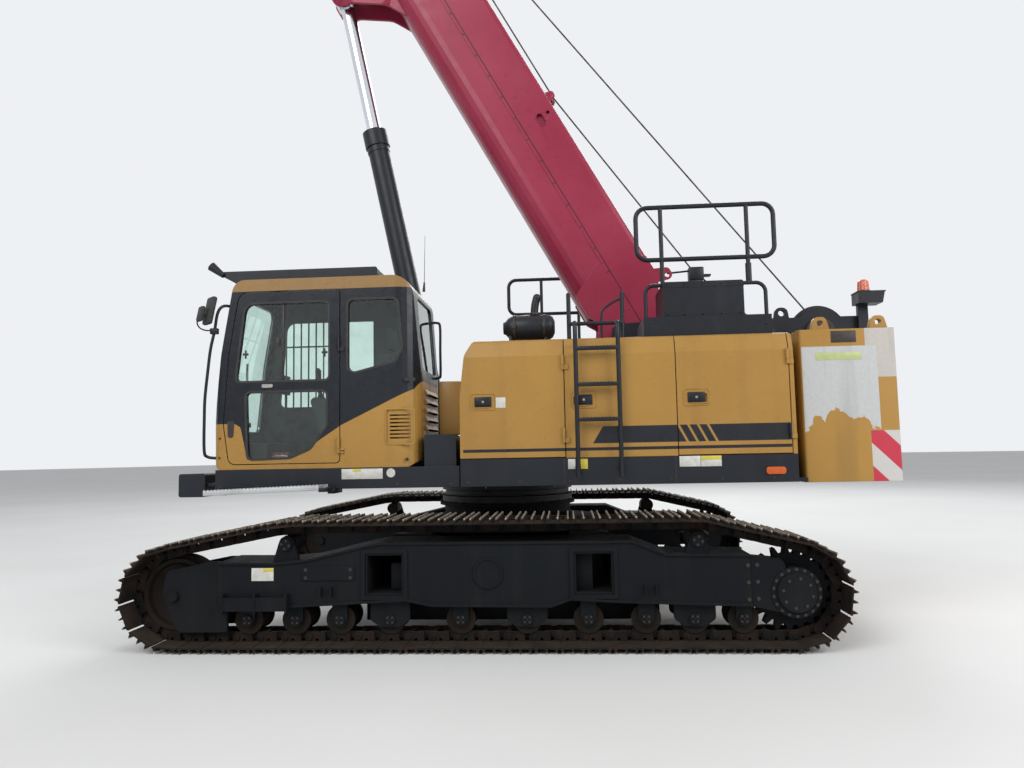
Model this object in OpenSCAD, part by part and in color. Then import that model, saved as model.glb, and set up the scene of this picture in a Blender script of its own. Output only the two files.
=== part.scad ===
// Crawler crane with a telescopic boom, about 25 tonne class.
// Millimetres. +X is forward, +Y is the cab side, +Z is up.
// The origin is on the ground, on the axis that the upper works turn about.

/* [Crawler] */
// Distance between the centre lines of the two tracks
track_gauge = 3500; // [3200:10:3900]
// Width of a track shoe
shoe_w = 600; // [450:10:700]
// Pitch that the links aim for; the loop length sets the exact one
shoe_pitch = 190; // [170:1:216]
// Distance of the idler's axle in front of the slewing axis
idler_x = 2410; // [2200:10:2700]
// Distance of the sprocket's axle behind the slewing axis
sprocket_x = 2220; // [2000:10:2500]
// Pitch radius of the chain round the idler and the sprocket
wheel_r = 322; // [300:1:345]
// Distance of each carrier roller from the slewing axis
carrier_x = 1540; // [1300:10:1700]
// Height that the carrier rollers lift the chain above the wheels' tops
carrier_rise = 166; // [100:1:220]
// Radius of the chain's path over a carrier roller
carrier_r = 113; // [100:1:130]
// Grouser height above the shoe plate
grouser_h = 36; // [20:1:45]
// Thickness of a shoe plate
shoe_t = 12; // [8:1:20]
// Distance each side frame can slide in
retract = 555; // [300:5:560]
// Width of the side frame
side_frame_w = 400; // [340:10:440]

/* [Undercarriage beams] */
// Distance of each cross beam from the slewing axis
beam_x = 775; // [700:5:850]
// Width of a cross beam
beam_w = 290; // [240:5:320]
// Height of a cross beam
beam_h = 310; // [240:5:320]
// Running gap between a beam and its sleeve
beam_gap = 5; // [3:1:8]
// Half length of the sleeves
sleeve_half = 880; // [800:5:900]

/* [Upper works] */
// Height of the revolving frame's underside
frame_z = 1170; // [1120:5:1220]
// Half width over the hoods
hood_y = 1490; // [1400:5:1550]
// Height of the hoods' tops
hood_top = 2360; // [2200:10:2450]
// Front end of the left hood
hood_front = 260; // [150:5:320]
// Rear end of the hoods, behind the slewing axis
hood_rear = 2410; // [2300:5:2450]
// Thickness of hood and cab panels, with their frames
panel_t = 40; // [30:1:50]
// Depth of the counterweight, front to back
weight_depth = 750; // [600:10:800]
// Half width of the counterweight
weight_y = 1400; // [1300:10:1480]

/* [Cab] */
// Front of the cab
cab_front = 2335; // [2250:5:2400]
// Rear of the cab
cab_rear = 600; // [560:5:650]
// Outer side of the cab
cab_y1 = 1470; // [1440:5:1480]
// Inner side of the cab
cab_y0 = 460; // [450:5:500]
// Height of the cab floor's underside
cab_z0 = 1340; // [1335:5:1360]
// Height of the cab roof
cab_z1 = 2935; // [2850:5:3000]

/* [Boom] */
// Angle of the boom above level, as it is stored
boom_angle = 61; // [40:1:75]
// Distance from the foot pin to the base section's head end
base_length = 9150; // [8200:50:10000]
// Distance from the base section's head end to the head sheaves' axle
head_reach = 1050; // [950:10:1300]
// Outer width of the base section
boom_w = 560; // [520:5:590]
// Outer depth of the base section
boom_d = 800; // [720:5:840]
// Plate thickness of the boom sections
boom_t = 8; // [6:1:14]
// Running gap between one section and the next
boom_gap = 22; // [16:1:30]
// Drop from the section's centre line to the foot pin
pivot_drop = 580; // [560:5:600]
// Foot pin's distance behind the slewing axis
pivot_x = 950; // [900:5:1000]
// Foot pin's height
pivot_z = 2150; // [2120:5:2200]

/* [Luffing cylinder] */
// Cylinder foot pin's distance in front of the slewing axis
foot_x = 640; // [620:5:660]
// Cylinder foot pin's height
foot_z = 1500; // [1480:5:1540]
// Distance of the rod's pin from the boom's foot pin, along the boom
rod_along = 4860; // [4800:10:4900]
// Distance of the rod's pin below the boom's underside
rod_below = 440; // [420:5:460]
// Outer diameter of the cylinder barrel
barrel_d = 220; // [200:5:240]
// Diameter of the chrome rod
rod_d = 145; // [120:5:160]
// Length of the barrel from its foot pin to its gland
barrel_l = 3380; // [3200:10:3400]

/* [Hidden] */
fine = 48;
medium = 32;
link_below = 38;
plate_above = 32;
wheel_z = wheel_r + plate_above + shoe_t + grouser_h;
carrier_z = wheel_z + wheel_r + carrier_rise - carrier_r;
track_y = track_gauge / 2;
beam_z = wheel_z + 153;
ring_r = 640;
carbody_top = 975;
seat_gap = 0.3;
rail_w = 45;
rail_y = 62;
fork_y = 170;
fork_x = 2050;
sprocket_teeth = 21;
hub_r = 180;
axle_r = 55;
roller_xs = [1840, 1470, 1130, 745, 215, -280, -730, -1150, -1500, -1850];
guarded_xs = [745, -280, -1500];
roller_r = 96;
roller_z = wheel_z - wheel_r + link_below + roller_r + seat_gap;
roller_half = rail_y + rail_w;
bracket_y = roller_half + 12;
roller_top = roller_z + roller_r + 12;
frame_y = track_y + side_frame_w / 2;
beam_inner_y = retract + 45;
lug_x = 1010;
lug_y = 300;
lug_z = 560;
lug_bore_r = 30;

deck_t = 30;
deck_y = hood_y - panel_t;
hood_z = frame_z + 220;
hood_inner_y = 500;
deck_rear = hood_rear + 80 - seat_gap;
web_y = 340;
web_t = 35;
rear_arm = 3430;
web_top = 2650;
foot_pin_r = 60;
cylinder_pin_r = 45;
pin_gap = 0.05;
door_gap = 7;
door_return = 80;
shoulder_z = hood_top - 140;
shoulder_in = 45;
latch_z = 1845;
door_split_front = -600;
door_split_rear = -1480;
hinge_x = 1270;
hinge_r = 14;
glass_t = 6;
box_top = 2820;
box_ledge = 2520;
rail_top = 3495;
rail_low = 3050;
rail_bend = 90;
side_rail_y = 1200;
weight_front = deck_rear + seat_gap;
winch_x = 2994;
winch_z = 2500;
aux_x = 2505;
aux_z = 2450;
drum_half = web_y - 15;

section_step = boom_t + boom_gap;
section_rb = 200;
section_rt = 50;
tail_s = 560;
head_s = base_length + head_reach;
tip_s = head_s - 350;
collar_step = (tip_s - base_length) / 3;
guide_s = [2770, rod_along + 740, base_length - 850];
head_t = -20;
sheave_r = 200;
cheek_y = 140;
cheek_t = 30;
eye_r = 115;
underside_t = pivot_drop - boom_d / 2;
top_t = pivot_drop + boom_d / 2;
window_s = 2520;
window_t = 800;
lift_bore_r = 28;
jib_bore_r = 25;
rod_tail = 1450;
hang = 1350;
groove_d = 16;
rope_r = 8;
fall_ys = [-50, 50];

// Shared shapes

function turn(a) = a - 360 * floor(a / 360);
function unit(v) = v / norm(v);
function left_of(v) = [-v.y, v.x];

// Points of an arc round c, from angle a0 to angle a1
function arc(c, r, a0, a1, n) =
    [for (i = [0:n]) c + r * [cos(a0 + (a1 - a0) * i / n), sin(a0 + (a1 - a0) * i / n)]];

// One corner [x, y, radius] of an outline, between its two neighbours
function corner(p, q, s) =
    let (o = [q.x, q.y], a = unit([p.x, p.y] - o), b = unit([s.x, s.y] - o), r = q[2],
        half = acos(a * b) / 2)
    r < 1 ? [o] :
    let (c = o + unit(a + b) * r / sin(half), e0 = o + a * r / tan(half) - c,
        e1 = o + b * r / tan(half) - c, a0 = atan2(e0.y, e0.x),
        sweep = turn(atan2(e1.y, e1.x) - a0 + 180) - 180)
    arc(c, r, a0, a0 + sweep, max(2, round(abs(sweep) / 15)));

// Outline with rounded corners, from points [x, y, radius]
function rounded(p) =
    let (n = len(p)) [for (i = [0:n - 1]) each corner(p[(i + n - 1) % n], p[i], p[(i + 1) % n])];

// The same outline moved in by t; the points run anticlockwise
function inset(p, t) =
    let (n = len(p)) [for (i = [0:n - 1])
        let (q = [p[i].x, p[i].y], b = p[(i + n - 1) % n], f = p[(i + 1) % n],
            n0 = left_of(unit(q - [b.x, b.y])), n1 = left_of(unit([f.x, f.y] - q)),
            m = q + t * (n0 + n1) / (1 + n0 * n1))
        [m.x, m.y, max(p[i][2] - t, 0)]];

// Box between two corners
module block(a, b) {
    translate(a) cube(b - a);
}

// Plate that stands along X, its outline in X and Z, from y to y + t
module plate(y, t, points) {
    translate([0, y + t, 0]) rotate([90, 0, 0]) linear_extrude(t) polygon(points);
}

// Plate that lies flat, its outline in X and Y
module slab(z, t, points) {
    translate([0, 0, z]) linear_extrude(t) polygon(points);
}

// Section in Y and Z, carried along X
module along_x(x, length, points) {
    translate([x, 0, 0]) rotate([90, 0, 90]) linear_extrude(length) polygon(points);
}

// Round bar or hole across the machine, from y0 to y1
module across(x, y0, y1, z, r) {
    translate([x, y1, z]) rotate([90, 0, 0]) cylinder(h = y1 - y0, r = r, $fn = fine);
}

// Round bar between two points
module rod_between(a, b, r) {
    d = b - a;
    translate(a) rotate([0, acos(d.z / norm(d)), atan2(d.y, d.x)])
        cylinder(h = norm(d), r = r, $fn = medium / 2);
}

// Bent tube through a list of points
module tube(points, r) {
    for (i = [0:len(points) - 2]) rod_between(points[i], points[i + 1], r);
    for (i = [1:len(points) - 2]) translate(points[i]) sphere(r = r + 1, $fn = medium / 2);
}

// Round tube in the plane of X and Z at y, bent to radius b at its inner points
module bent_tube(y, points, b, r) {
    n = len(points);
    ends = [for (i = [0:n - 1]) i == 0 || i == n - 1 ? [points[i]] :
        let (q = points[i], o = unit(points[i - 1] - q), f = unit(points[i + 1] - q), half = acos(o * f) / 2,
            run = b / tan(half))
        [q + run * o, q + run * f, q + unit(o + f) * b / sin(half)]];
    for (i = [0:n - 2]) {
        p = ends[i][len(ends[i]) == 1 ? 0 : 1];
        q = ends[i + 1][0];
        rod_between([p.x, y, p.y], [q.x, y, q.y], r);
    }
    for (i = [1:n - 2]) {
        from = ends[i][0] - ends[i][2];
        to = ends[i][1] - ends[i][2];
        sweep = turn(atan2(to.y, to.x) - atan2(from.y, from.x) + 180) - 180;
        start = sweep > 0 ? atan2(from.y, from.x) : atan2(to.y, to.x);
        translate([ends[i][2].x, y, ends[i][2].y]) rotate([90, -start, 0])
            rotate_extrude(angle = abs(sweep), $fn = fine) translate([b, 0]) circle(r = r, $fn = medium / 2);
    }
}

// Copy on the other side of the machine
module other_side() {
    mirror([0, 1, 0]) children();
}

// Frames that lie along the boom and along the cylinder

// Origin on the foot pin, X along the boom, Z out of its top face
module on_boom() {
    translate([-pivot_x, 0, pivot_z]) rotate([0, -boom_angle, 0]) children();
}

rod_pin_t = -boom_d / 2 - rod_below + pivot_drop;
rod_pin = [-pivot_x + rod_along * cos(boom_angle) - rod_pin_t * sin(boom_angle),
    pivot_z + rod_along * sin(boom_angle) + rod_pin_t * cos(boom_angle)];
cylinder_run = rod_pin - [foot_x, foot_z];
cylinder_angle = atan2(cylinder_run.y, cylinder_run.x);
cylinder_l = norm(cylinder_run);

module on_cylinder() {
    translate([foot_x, 0, foot_z]) rotate([0, -cylinder_angle, 0]) children();
}

// Track loop

// Columns: axle x, axle z, radius of the chain's pitch line
wheels = [
    [-sprocket_x, wheel_z, wheel_r],
    [idler_x, wheel_z, wheel_r],
    [carrier_x, carrier_z, carrier_r],
    [-carrier_x, carrier_z, carrier_r]
];
function wheel(i) = wheels[i % len(wheels)];
function centre(i) = [wheel(i)[0], wheel(i)[1]];
function gap_to_next(i) = centre(i + 1) - centre(i);
// Outward direction of the straight run from one wheel to the next
function run_normal(i) = let (d = gap_to_next(i))
    atan2(d.y, d.x) - acos((wheel(i)[2] - wheel(i + 1)[2]) / norm(d));
function run_length(i) = let (d = gap_to_next(i), r = wheel(i)[2] - wheel(i + 1)[2])
    sqrt(d * d - r * r);
function wrap_angle(i) = turn(run_normal(i) - run_normal(i + len(wheels) - 1));
function wrap_length(i) = wrap_angle(i) * PI / 180 * wheel(i)[2];
function sum_to(i) = i < 0 ? 0 : sum_to(i - 1) + wrap_length(i) + run_length(i);
loop_length = sum_to(len(wheels) - 1);
shoe_count = round(loop_length / shoe_pitch);
link_pitch = loop_length / shoe_count;
// Point of the pitch line at distance s along it
function on_loop(s) =
    let (i = [for (k = [0:len(wheels) - 1]) if (s >= sum_to(k - 1)) k][
            len([for (k = [0:len(wheels) - 1]) if (s >= sum_to(k - 1)) k]) - 1],
        rest = s - sum_to(i - 1), w = wrap_length(i))
    rest < w
        ? let (a = run_normal(i + len(wheels) - 1) + rest / wheel(i)[2] * 180 / PI)
            centre(i) + wheel(i)[2] * [cos(a), sin(a)]
        : let (a = run_normal(i))
            centre(i) + wheel(i)[2] * [cos(a), sin(a)] + (rest - w) * [-sin(a), cos(a)];
pins = [for (k = [0:shoe_count - 1]) on_loop(k * link_pitch)];
// Columns: distance along the shoe as a share of the pitch, height above the shoe plate
grousers = [[0, 0], [0.12, 1], [0.31, 0], [0.5, 1], [0.69, 0], [0.88, 1]];
shoe_outline = [for (k = [0:shoe_count - 1]) let (p = pins[k], d = pins[(k + 1) % shoe_count] - p,
        out = -left_of(unit(d)))
    for (g = grousers) p + g[0] * d + (plate_above + shoe_t + g[1] * grouser_h) * out];
// Ring through the pins, moved out by h
function ring_at(h) = [for (k = [0:shoe_count - 1])
    let (d = unit(pins[(k + 1) % shoe_count] - pins[(k + shoe_count - 1) % shoe_count]))
    pins[k] - h * left_of(d)];
rail_ring = ring_at(-link_below);
function to_edge(c, a, b) = let (d = b - a, t = max(0, min(1, (c - a) * d / (d * d))))
    norm(c - a - t * d);
// Largest wheel round c that the chain's rails leave room for
function tread_r(c) = min([for (k = [0:shoe_count - 1])
    to_edge(c, rail_ring[k], rail_ring[(k + 1) % shoe_count])]) - seat_gap;

module track() {
    difference() {
        plate(-shoe_w / 2, shoe_w, shoe_outline);
        plate(-shoe_w / 2 - 1, shoe_w + 2, ring_at(plate_above));
    }
    for (y = [-rail_y - rail_w, rail_y]) difference() {
        plate(y, rail_w, ring_at(plate_above + 1));
        plate(y - 1, rail_w + 2, rail_ring);
    }
}

module on_track() {
    translate([0, track_y, 0]) children();
}

module track_left() {
    color("dimgray") on_track() track();
}

module track_right() {
    color("dimgray") other_side() on_track() track();
}

// Idler: two treads for the chain's rails, a guide flange between them and its axle
module idler() {
    r = tread_r([idler_x, wheel_z]);
    half = rail_y + rail_w;
    on_track() translate([idler_x, 0, wheel_z]) rotate([90, 0, 0]) difference() {
        union() {
            rotate_extrude($fn = fine) polygon([
                [0, -half], [r, -half], [r, -rail_y + 4], [r + 22, -rail_y + 12],
                [r + 22, rail_y - 12], [r, rail_y - 4], [r, half], [0, half]
            ]);
            cylinder(h = 2 * fork_y, r = axle_r, center = true, $fn = fine);
        }
        for (side = [0, 1]) mirror([0, 0, side]) translate([0, 0, half - 40])
            rotate_extrude($fn = fine) polygon([[110, 0], [r - 45, 0], [r - 30, 41], [100, 41]]);
    }
}

module idler_left() {
    color("dimgray") idler();
}

module idler_right() {
    color("dimgray") other_side() idler();
}

// Final drive: sprocket, its hub outside and the motor's housing inside
module drive() {
    root_r = wheel_r - 62;
    tip_r = wheel_r - 6;
    tooth = 360 / sprocket_teeth;
    on_track() translate([-sprocket_x, 0, wheel_z]) rotate([90, 0, 0]) {
        linear_extrude(2 * rail_y - 54, center = true) polygon([
            for (k = [0:sprocket_teeth - 1]) each [
                root_r * [cos((k - 0.32) * tooth), sin((k - 0.32) * tooth)],
                tip_r * [cos((k - 0.12) * tooth), sin((k - 0.12) * tooth)],
                tip_r * [cos((k + 0.12) * tooth), sin((k + 0.12) * tooth)],
                root_r * [cos((k + 0.32) * tooth), sin((k + 0.32) * tooth)]
            ]]);
        translate([0, 0, -side_frame_w / 2 - 20]) rotate_extrude($fn = fine) polygon([
            [0, 0], [133, 0], [145, 12], [145, 30], [hub_r, 36], [hub_r, 170], [165, 176],
            [165, side_frame_w], [120, side_frame_w], [120, side_frame_w + 40], [0, side_frame_w + 40]
        ]);
    }
}

module drive_left() {
    color("dimgray") drive();
}

module drive_right() {
    color("dimgray") other_side() drive();
}

// Bottom rollers and carrier rollers, each on its axle between the side frame's brackets
module rollers() {
    on_track() {
        for (x = roller_xs) {
            across(x, -roller_half, roller_half, roller_z, roller_r);
            across(x, -bracket_y + seat_gap, bracket_y - seat_gap, roller_z, 42);
        }
        for (x = [-carrier_x, carrier_x]) {
            across(x, -roller_half, roller_half, carrier_z, tread_r([x, carrier_z]));
            across(x, 0, bracket_y - seat_gap, carrier_z, 30);
        }
    }
}

// Plates that hang from the side frame at the rollers' axles, wide at the chain guards, and the
// carrier rollers' posts
module roller_brackets() {
    on_track() {
        for (x = roller_xs) let (guard = len(search(x, guarded_xs)) > 0, w = guard ? 150 : 58, cap = w / 2)
            for (y = [-bracket_y - 28, bracket_y]) plate(y, 28, rounded([
                [x - w, 390, 0], [x - w, roller_z, 30], [x - cap, roller_z - 55, 30],
                [x + cap, roller_z - 55, 30], [x + w, roller_z, 30], [x + w, 390, 0]
            ]));
        for (x = roller_xs) across(x, bracket_y + 27, bracket_y + 40, roller_z, 40);
        for (x = [-carrier_x, carrier_x]) {
            plate(bracket_y, 40, rounded([
                [x - 110, 620, 0], [x + 110, 620, 0], [x + 62, carrier_z, 60], [x + 40, carrier_z + 62, 50],
                [x - 40, carrier_z + 62, 50], [x - 62, carrier_z, 60]
            ]));
            across(x, bracket_y + 39, bracket_y + 62, carrier_z, 46);
        }
    }
}

module rollers_left() {
    color("dimgray") rollers();
}

module rollers_right() {
    color("dimgray") other_side() rollers();
}

// Lower and upper edge of the side frame's plates, from rear to front and back
frame_low = [[-1900, 310], [-970, 340], [-600, 360], [-460, 310], [430, 320], [610, 360], [fork_x, 290]];
frame_high = [[fork_x, 655], [1600, 650], [1370, 670], [930, 770], [810, 790], [-1060, 785], [-1300, 690],
    [-1900, 680]];

// Flange plate, t thick, that runs along an edge of the side frame and stands proud of its walls
module flange(points, t) {
    plate(track_y - side_frame_w / 2 - 12, side_frame_w + 24, concat(points,
        [for (i = [len(points) - 1:-1:0]) points[i] + [0, t]]));
}

// Step box on the side frame: a folded tread between two end plates
module frame_step() {
    block([1500, frame_y - 10, 300], [2000, frame_y + 55, 312]);
    block([1500, frame_y + 43, 300], [2000, frame_y + 55, 400]);
    for (x = [1500, 1740, 1985]) plate(frame_y - 10, 70, rounded([
        [x, 285, 0], [x + 15, 285, 0], [x + 15, 425, 0], [x, 425, 0]
    ]));
}

// Side frame: closed box of plate with flanged edges, a channel for the rollers, a fork for the
// idler and a seat for the drive
module side_frame() {
    y0 = track_y - side_frame_w / 2;
    rim = 30;
    difference() {
        union() {
            plate(y0, side_frame_w, rounded([for (p = concat(frame_low, frame_high)) [p.x, p.y, 20]]));
            flange(frame_low, 18);
            flange([for (p = frame_high) p - [0, 18]], 18);
            for (x = [-beam_x, beam_x]) plate(frame_y - 1, 13, rounded([
                [x - beam_w / 2 - rim, beam_z - beam_h / 2 - rim, 20],
                [x + beam_w / 2 + rim, beam_z - beam_h / 2 - rim, 20],
                [x + beam_w / 2 + rim, beam_z + beam_h / 2 + rim, 20],
                [x - beam_w / 2 - rim, beam_z + beam_h / 2 + rim, 20]
            ]));
            for (y = [-fork_y, fork_y - 34]) plate(track_y + y, 34, rounded([
                [fork_x - 60, 130, 10], [2380, 130, 60], [2500, 420, 60], [2470, 590, 70],
                [2110, 655, 20], [fork_x - 60, 655, 10]
            ]));
            plate(frame_y - 130, 110, rounded([
                [-2150, 250, 60], [-1850, 320, 10], [-1850, 670, 10], [-2150, 640, 60]
            ]));
            across(0, frame_y - 10, frame_y + 14, 560, 110);
            plate(frame_y - 1, 11, rounded([[1000, 515, 10], [1400, 515, 10], [1400, 615, 10], [1000, 615, 10]]));
            for (x = [1170, 1250, -1150, -1230]) block([x, frame_y - 10, 400], [x + 12, frame_y + 35, 470]);
            frame_step();
            roller_brackets();
        }
        across(-sprocket_x, y0 - 20, frame_y + 40, wheel_z, hub_r + seat_gap);
        across(idler_x, y0 - 20, frame_y + 10, wheel_z, axle_r + seat_gap);
        across(0, frame_y + 6, frame_y + 20, 560, 96);
        for (x = [-beam_x, beam_x]) block([x - beam_w / 2, y0 - 20, beam_z - beam_h / 2],
            [x + beam_w / 2, frame_y + 20, beam_z + beam_h / 2]);
        block([-sprocket_x + hub_r + 20, track_y - bracket_y, 0], [fork_x - 61, track_y + bracket_y, roller_top]);
    }
}

module side_frame_left() {
    color("#23262b") side_frame();
}

module side_frame_right() {
    color("#23262b") other_side() side_frame();
}

// Two box beams that slide in the car body's sleeves and pass through the side frame
module cross_beams() {
    for (x = [-beam_x, beam_x]) difference() {
        block([x - beam_w / 2, beam_inner_y, beam_z - beam_h / 2],
            [x + beam_w / 2, track_y + side_frame_w / 2, beam_z + beam_h / 2]);
        block([x - beam_w / 2 + 16, beam_inner_y - 1, beam_z - beam_h / 2 + 16],
            [x + beam_w / 2 - 16, track_y + side_frame_w / 2 + 1, beam_z + beam_h / 2 - 16]);
    }
}

module cross_beams_left() {
    color("#23262b") cross_beams();
}

module cross_beams_right() {
    color("#23262b") other_side() cross_beams();
}

// Car body: two through sleeves, plates between them and the pedestal of the slew ring
module carbody() {
    sleeve_t = 22;
    w = beam_w / 2 + beam_gap;
    h = beam_h / 2 + beam_gap;
    inner_x = beam_x - w - sleeve_t;
    color("#23262b") difference() {
        union() {
            for (x = [-beam_x, beam_x])
                block([x - w - sleeve_t, -sleeve_half, beam_z - h - sleeve_t],
                    [x + w + sleeve_t, sleeve_half, beam_z + h + sleeve_t]);
            slab(beam_z - h - sleeve_t, 2 * (h + sleeve_t), rounded([
                [-inner_x - 5, -560, 0], [inner_x + 5, -560, 0],
                [inner_x + 5, 560, 0], [-inner_x - 5, 560, 0]
            ]));
            slab(beam_z + h + sleeve_t - 5, 70, rounded([
                [-880, -480, 40], [-480, -800, 40], [480, -800, 40], [880, -480, 40],
                [880, 480, 40], [480, 800, 40], [-480, 800, 40], [-880, 480, 40]
            ]));
            translate([0, 0, beam_z + h]) rotate_extrude($fn = fine) polygon([
                [0, 0], [690, 0], [690, 80], [ring_r - 20, 150], [ring_r - 20, carbody_top - 30 - beam_z - h],
                [ring_r + 25, carbody_top - 30 - beam_z - h], [ring_r + 25, carbody_top - beam_z - h],
                [0, carbody_top - beam_z - h]
            ]);
            for (side = [-1, 1]) for (y = [-lug_y, lug_y]) slab(lug_z - 20, 40, lug(side, y));
        }
        for (x = [-beam_x, beam_x])
            block([x - w, -sleeve_half - 1, beam_z - h], [x + w, sleeve_half + 1, beam_z + h]);
        for (x = [-lug_x, lug_x]) for (y = [-lug_y, lug_y]) translate([x, y, lug_z - 30])
            cylinder(h = 60, r = lug_bore_r, $fn = fine);
    }
    // Wear pads under the beams at the sleeves' mouths
    color("#23262b") for (x = [-beam_x, beam_x]) for (y = [-sleeve_half + 20, sleeve_half - 140])
        block([x - 100, y, beam_z - h - 1], [x + 100, y + 120, beam_z - beam_h / 2 - seat_gap]);
}

// Tie-down lug that lies flat on the car body's front or rear face, at y
function lug(side, y) = let (x0 = side * (beam_x + beam_w / 2), tip = side * (lug_x + 60))
    side > 0
        ? rounded([[x0, y - 110, 0], [tip, y - 60, 50], [tip, y + 60, 50], [x0, y + 110, 0]])
        : rounded([[tip, y - 60, 50], [x0, y - 110, 0], [x0, y + 110, 0], [tip, y + 60, 50]]);

// Slewing ring: outer race on the car body, with the bolt flange above and below
module slew_ring() {
    color("dimgray") translate([0, 0, carbody_top]) rotate_extrude($fn = fine) polygon([
        [ring_r - 110, 0], [ring_r, 0], [ring_r, 60], [ring_r - 30, 66], [ring_r - 30, 110], [ring_r, 116],
        [ring_r, frame_z - carbody_top - seat_gap], [ring_r - 110, frame_z - carbody_top - seat_gap]
    ]);
}

// Revolving frame: floor plates, two webs that carry the boom and the cylinder, winch arms
module revolving_frame() {
    color("#23262b") difference() {
        union() {
            slab(frame_z, deck_t, rounded([
                [-deck_rear, -deck_y, 0], [900, -deck_y, 60], [1250, -1000, 60], [1400, -420, 40],
                [1400, 430, 20], [2290, 430, 20], [2290, deck_y - 20, 0], [hood_front + 5, deck_y - 20, 0],
                [hood_front + 5, deck_y, 0], [-deck_rear, deck_y, 0]
            ]));
            translate([0, 0, frame_z]) cylinder(h = 60, r = ring_r + 40, $fn = fine);
            for (y = [-web_y - web_t, web_y]) plate(y, web_t, rounded([
                [-deck_rear, frame_z + 1, 0], [1400, frame_z + 1, 0], [1400, 1330, 60], [880, 1480, 60],
                [200, 1640, 80], [-560, 1760, 100], [1 - pivot_x + 150, pivot_z, 40],
                [-pivot_x + 100, pivot_z + 160, 110], [-pivot_x - 130, pivot_z + 160, 110],
                [-pivot_x - 320, 1960, 80], [-2230, 1960, 80], [-2370, 2500, 60], [-2480, web_top, 60],
                [-rear_arm, web_top, 20], [-rear_arm, 2380, 30], [-deck_rear - 60, 2300, 60],
                [-deck_rear, 2200, 40]
            ]));
            for (y = [-web_y - web_t, web_y]) {
                plate(y, web_t, rounded([[-2720, web_top - 1, 0], [-2580, web_top - 1, 0],
                    [-2595, web_top + 100, 54], [-2705, web_top + 100, 54]]));
                plate(y, web_t, [for (a = [0:15:180]) [-winch_x, winch_z] + 235 * [cos(a), sin(a)]]);
            }
            for (x = [-deck_rear, -1600, 1365]) block([x, -web_y - 1, frame_z], [x + 35, web_y + 1, 1330]);
            for (y = [-165, 130]) plate(y, 35, rounded([
                [foot_x - 330, frame_z + 1, 0], [foot_x + 330, frame_z + 1, 0],
                [foot_x + 110, foot_z + 110, 100], [foot_x - 110, foot_z + 110, 100]
            ]));
            across(-pivot_x, -web_y - web_t - 25, web_y + web_t + 25, pivot_z, foot_pin_r);
            across(foot_x, -185, 185, foot_z, cylinder_pin_r);
        }
        across(-2650, -web_y - web_t - 1, web_y + web_t + 1, web_top + 45, lift_bore_r);
    }
}

// Dark side sills below the hoods and the cab
module side_sills() {
    color("#2b2f38") {
        for (side = [0, 1]) mirror([0, side, 0])
            block([-hood_rear, hood_y - panel_t, frame_z], [hood_front, hood_y, hood_z - seat_gap]);
        block([hood_front + 10, hood_y - 60, frame_z], [cab_front - 25, hood_y - 20, cab_z0 - seat_gap]);
        block([cab_front - 65, cab_y0, frame_z + deck_t], [cab_front - 25, hood_y - 61, cab_z0 - seat_gap]);
        // Cover over the valves between the cab and the hood
        plate(1050, hood_y - 60 - 1049, rounded([
            [hood_front + 40, frame_z + deck_t, 0], [cab_rear - 35, frame_z + deck_t, 0],
            [cab_rear - 35, 1600, 20], [hood_front + 40, 1600, 60]
        ]));
        // Small box that hangs in front of the deck's corner
        block([cab_front - 30, 1180, frame_z + deck_t], [2450, 1350, frame_z + deck_t + 25]);
        plate(1150, 230, rounded([[2440, 1115, 20], [2670, 1115, 20], [2670, 1310, 20], [2440, 1310, 20]]));
    }
    // Marker lamps near the rear of the sills
    color("orange") for (side = [0, 1]) mirror([0, side, 0]) plate(hood_y - 1, 14, rounded([
        [-2310, 1233, 22], [-2160, 1233, 22], [-2160, 1290, 22], [-2310, 1290, 22]
    ]));
}

// Cab outline in X and Z, then in X and Y, with the radius of each corner
cab_side = [
    [cab_rear + 90, cab_z0, 10], [cab_front - 20, cab_z0, 50], [cab_front, cab_z0 + 380, 300],
    [cab_front - 60, cab_z0 + 960, 300], [cab_front - 165, cab_z1, 110], [cab_rear + 60, cab_z1, 170],
    [cab_rear, cab_z0 + 740, 200], [cab_rear, cab_z0 + 60, 10]
];
cab_plan = [
    [cab_rear, cab_y0, 60], [cab_front + 10, cab_y0, 90], [cab_front + 10, cab_y1, 90], [cab_rear, cab_y1, 190]
];
door_side = [
    [1262, cab_z0 + 45, 30], [2195, cab_z0 + 45, 60], [2245, cab_z0 + 380, 200], [2205, cab_z0 + 960, 300],
    [2120, cab_z1 - 110, 90], [1262, cab_z1 - 110, 30]
];
// Panes of the cab's left side: in the door above and below its rail, and behind the door
door_pane_high = [[1350, 2070, 40], [2150, 2070, 40], [2070, 2730, 90], [1350, 2730, 50]];
door_pane_low = [[1510, 1500, 60], [1680, 1430, 60], [2040, 1420, 50], [2060, 1980, 40], [1370, 1980, 40],
    [1370, 1690, 50]];
rear_pane = [[790, 2210, 60], [1195, 2110, 60], [1195, 2740, 50], [770, 2740, 60], [735, 2320, 60]];
right_pane = [[800, 1900, 60], [2150, 1900, 60], [2080, 2730, 90], [780, 2730, 60]];

// Front of the cab at height z, above the bend of its windscreen
function cab_face_x(z) = cab_front - 60 - 105 * (z - cab_z0 - 960) / (cab_z1 - cab_z0 - 960);

module cab_solid(t) {
    intersection() {
        plate(cab_y0 - 50, cab_y1 - cab_y0 + 100, rounded(inset(cab_side, t)));
        slab(cab_z0 - 50, cab_z1 - cab_z0 + 100, rounded(inset(cab_plan, t)));
    }
}

// Pane of a side of the cab, t thick, grown by g at its edge
module side_pane(y, t, points, g) {
    plate(y, t, rounded(inset(points, -g)));
}

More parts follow.
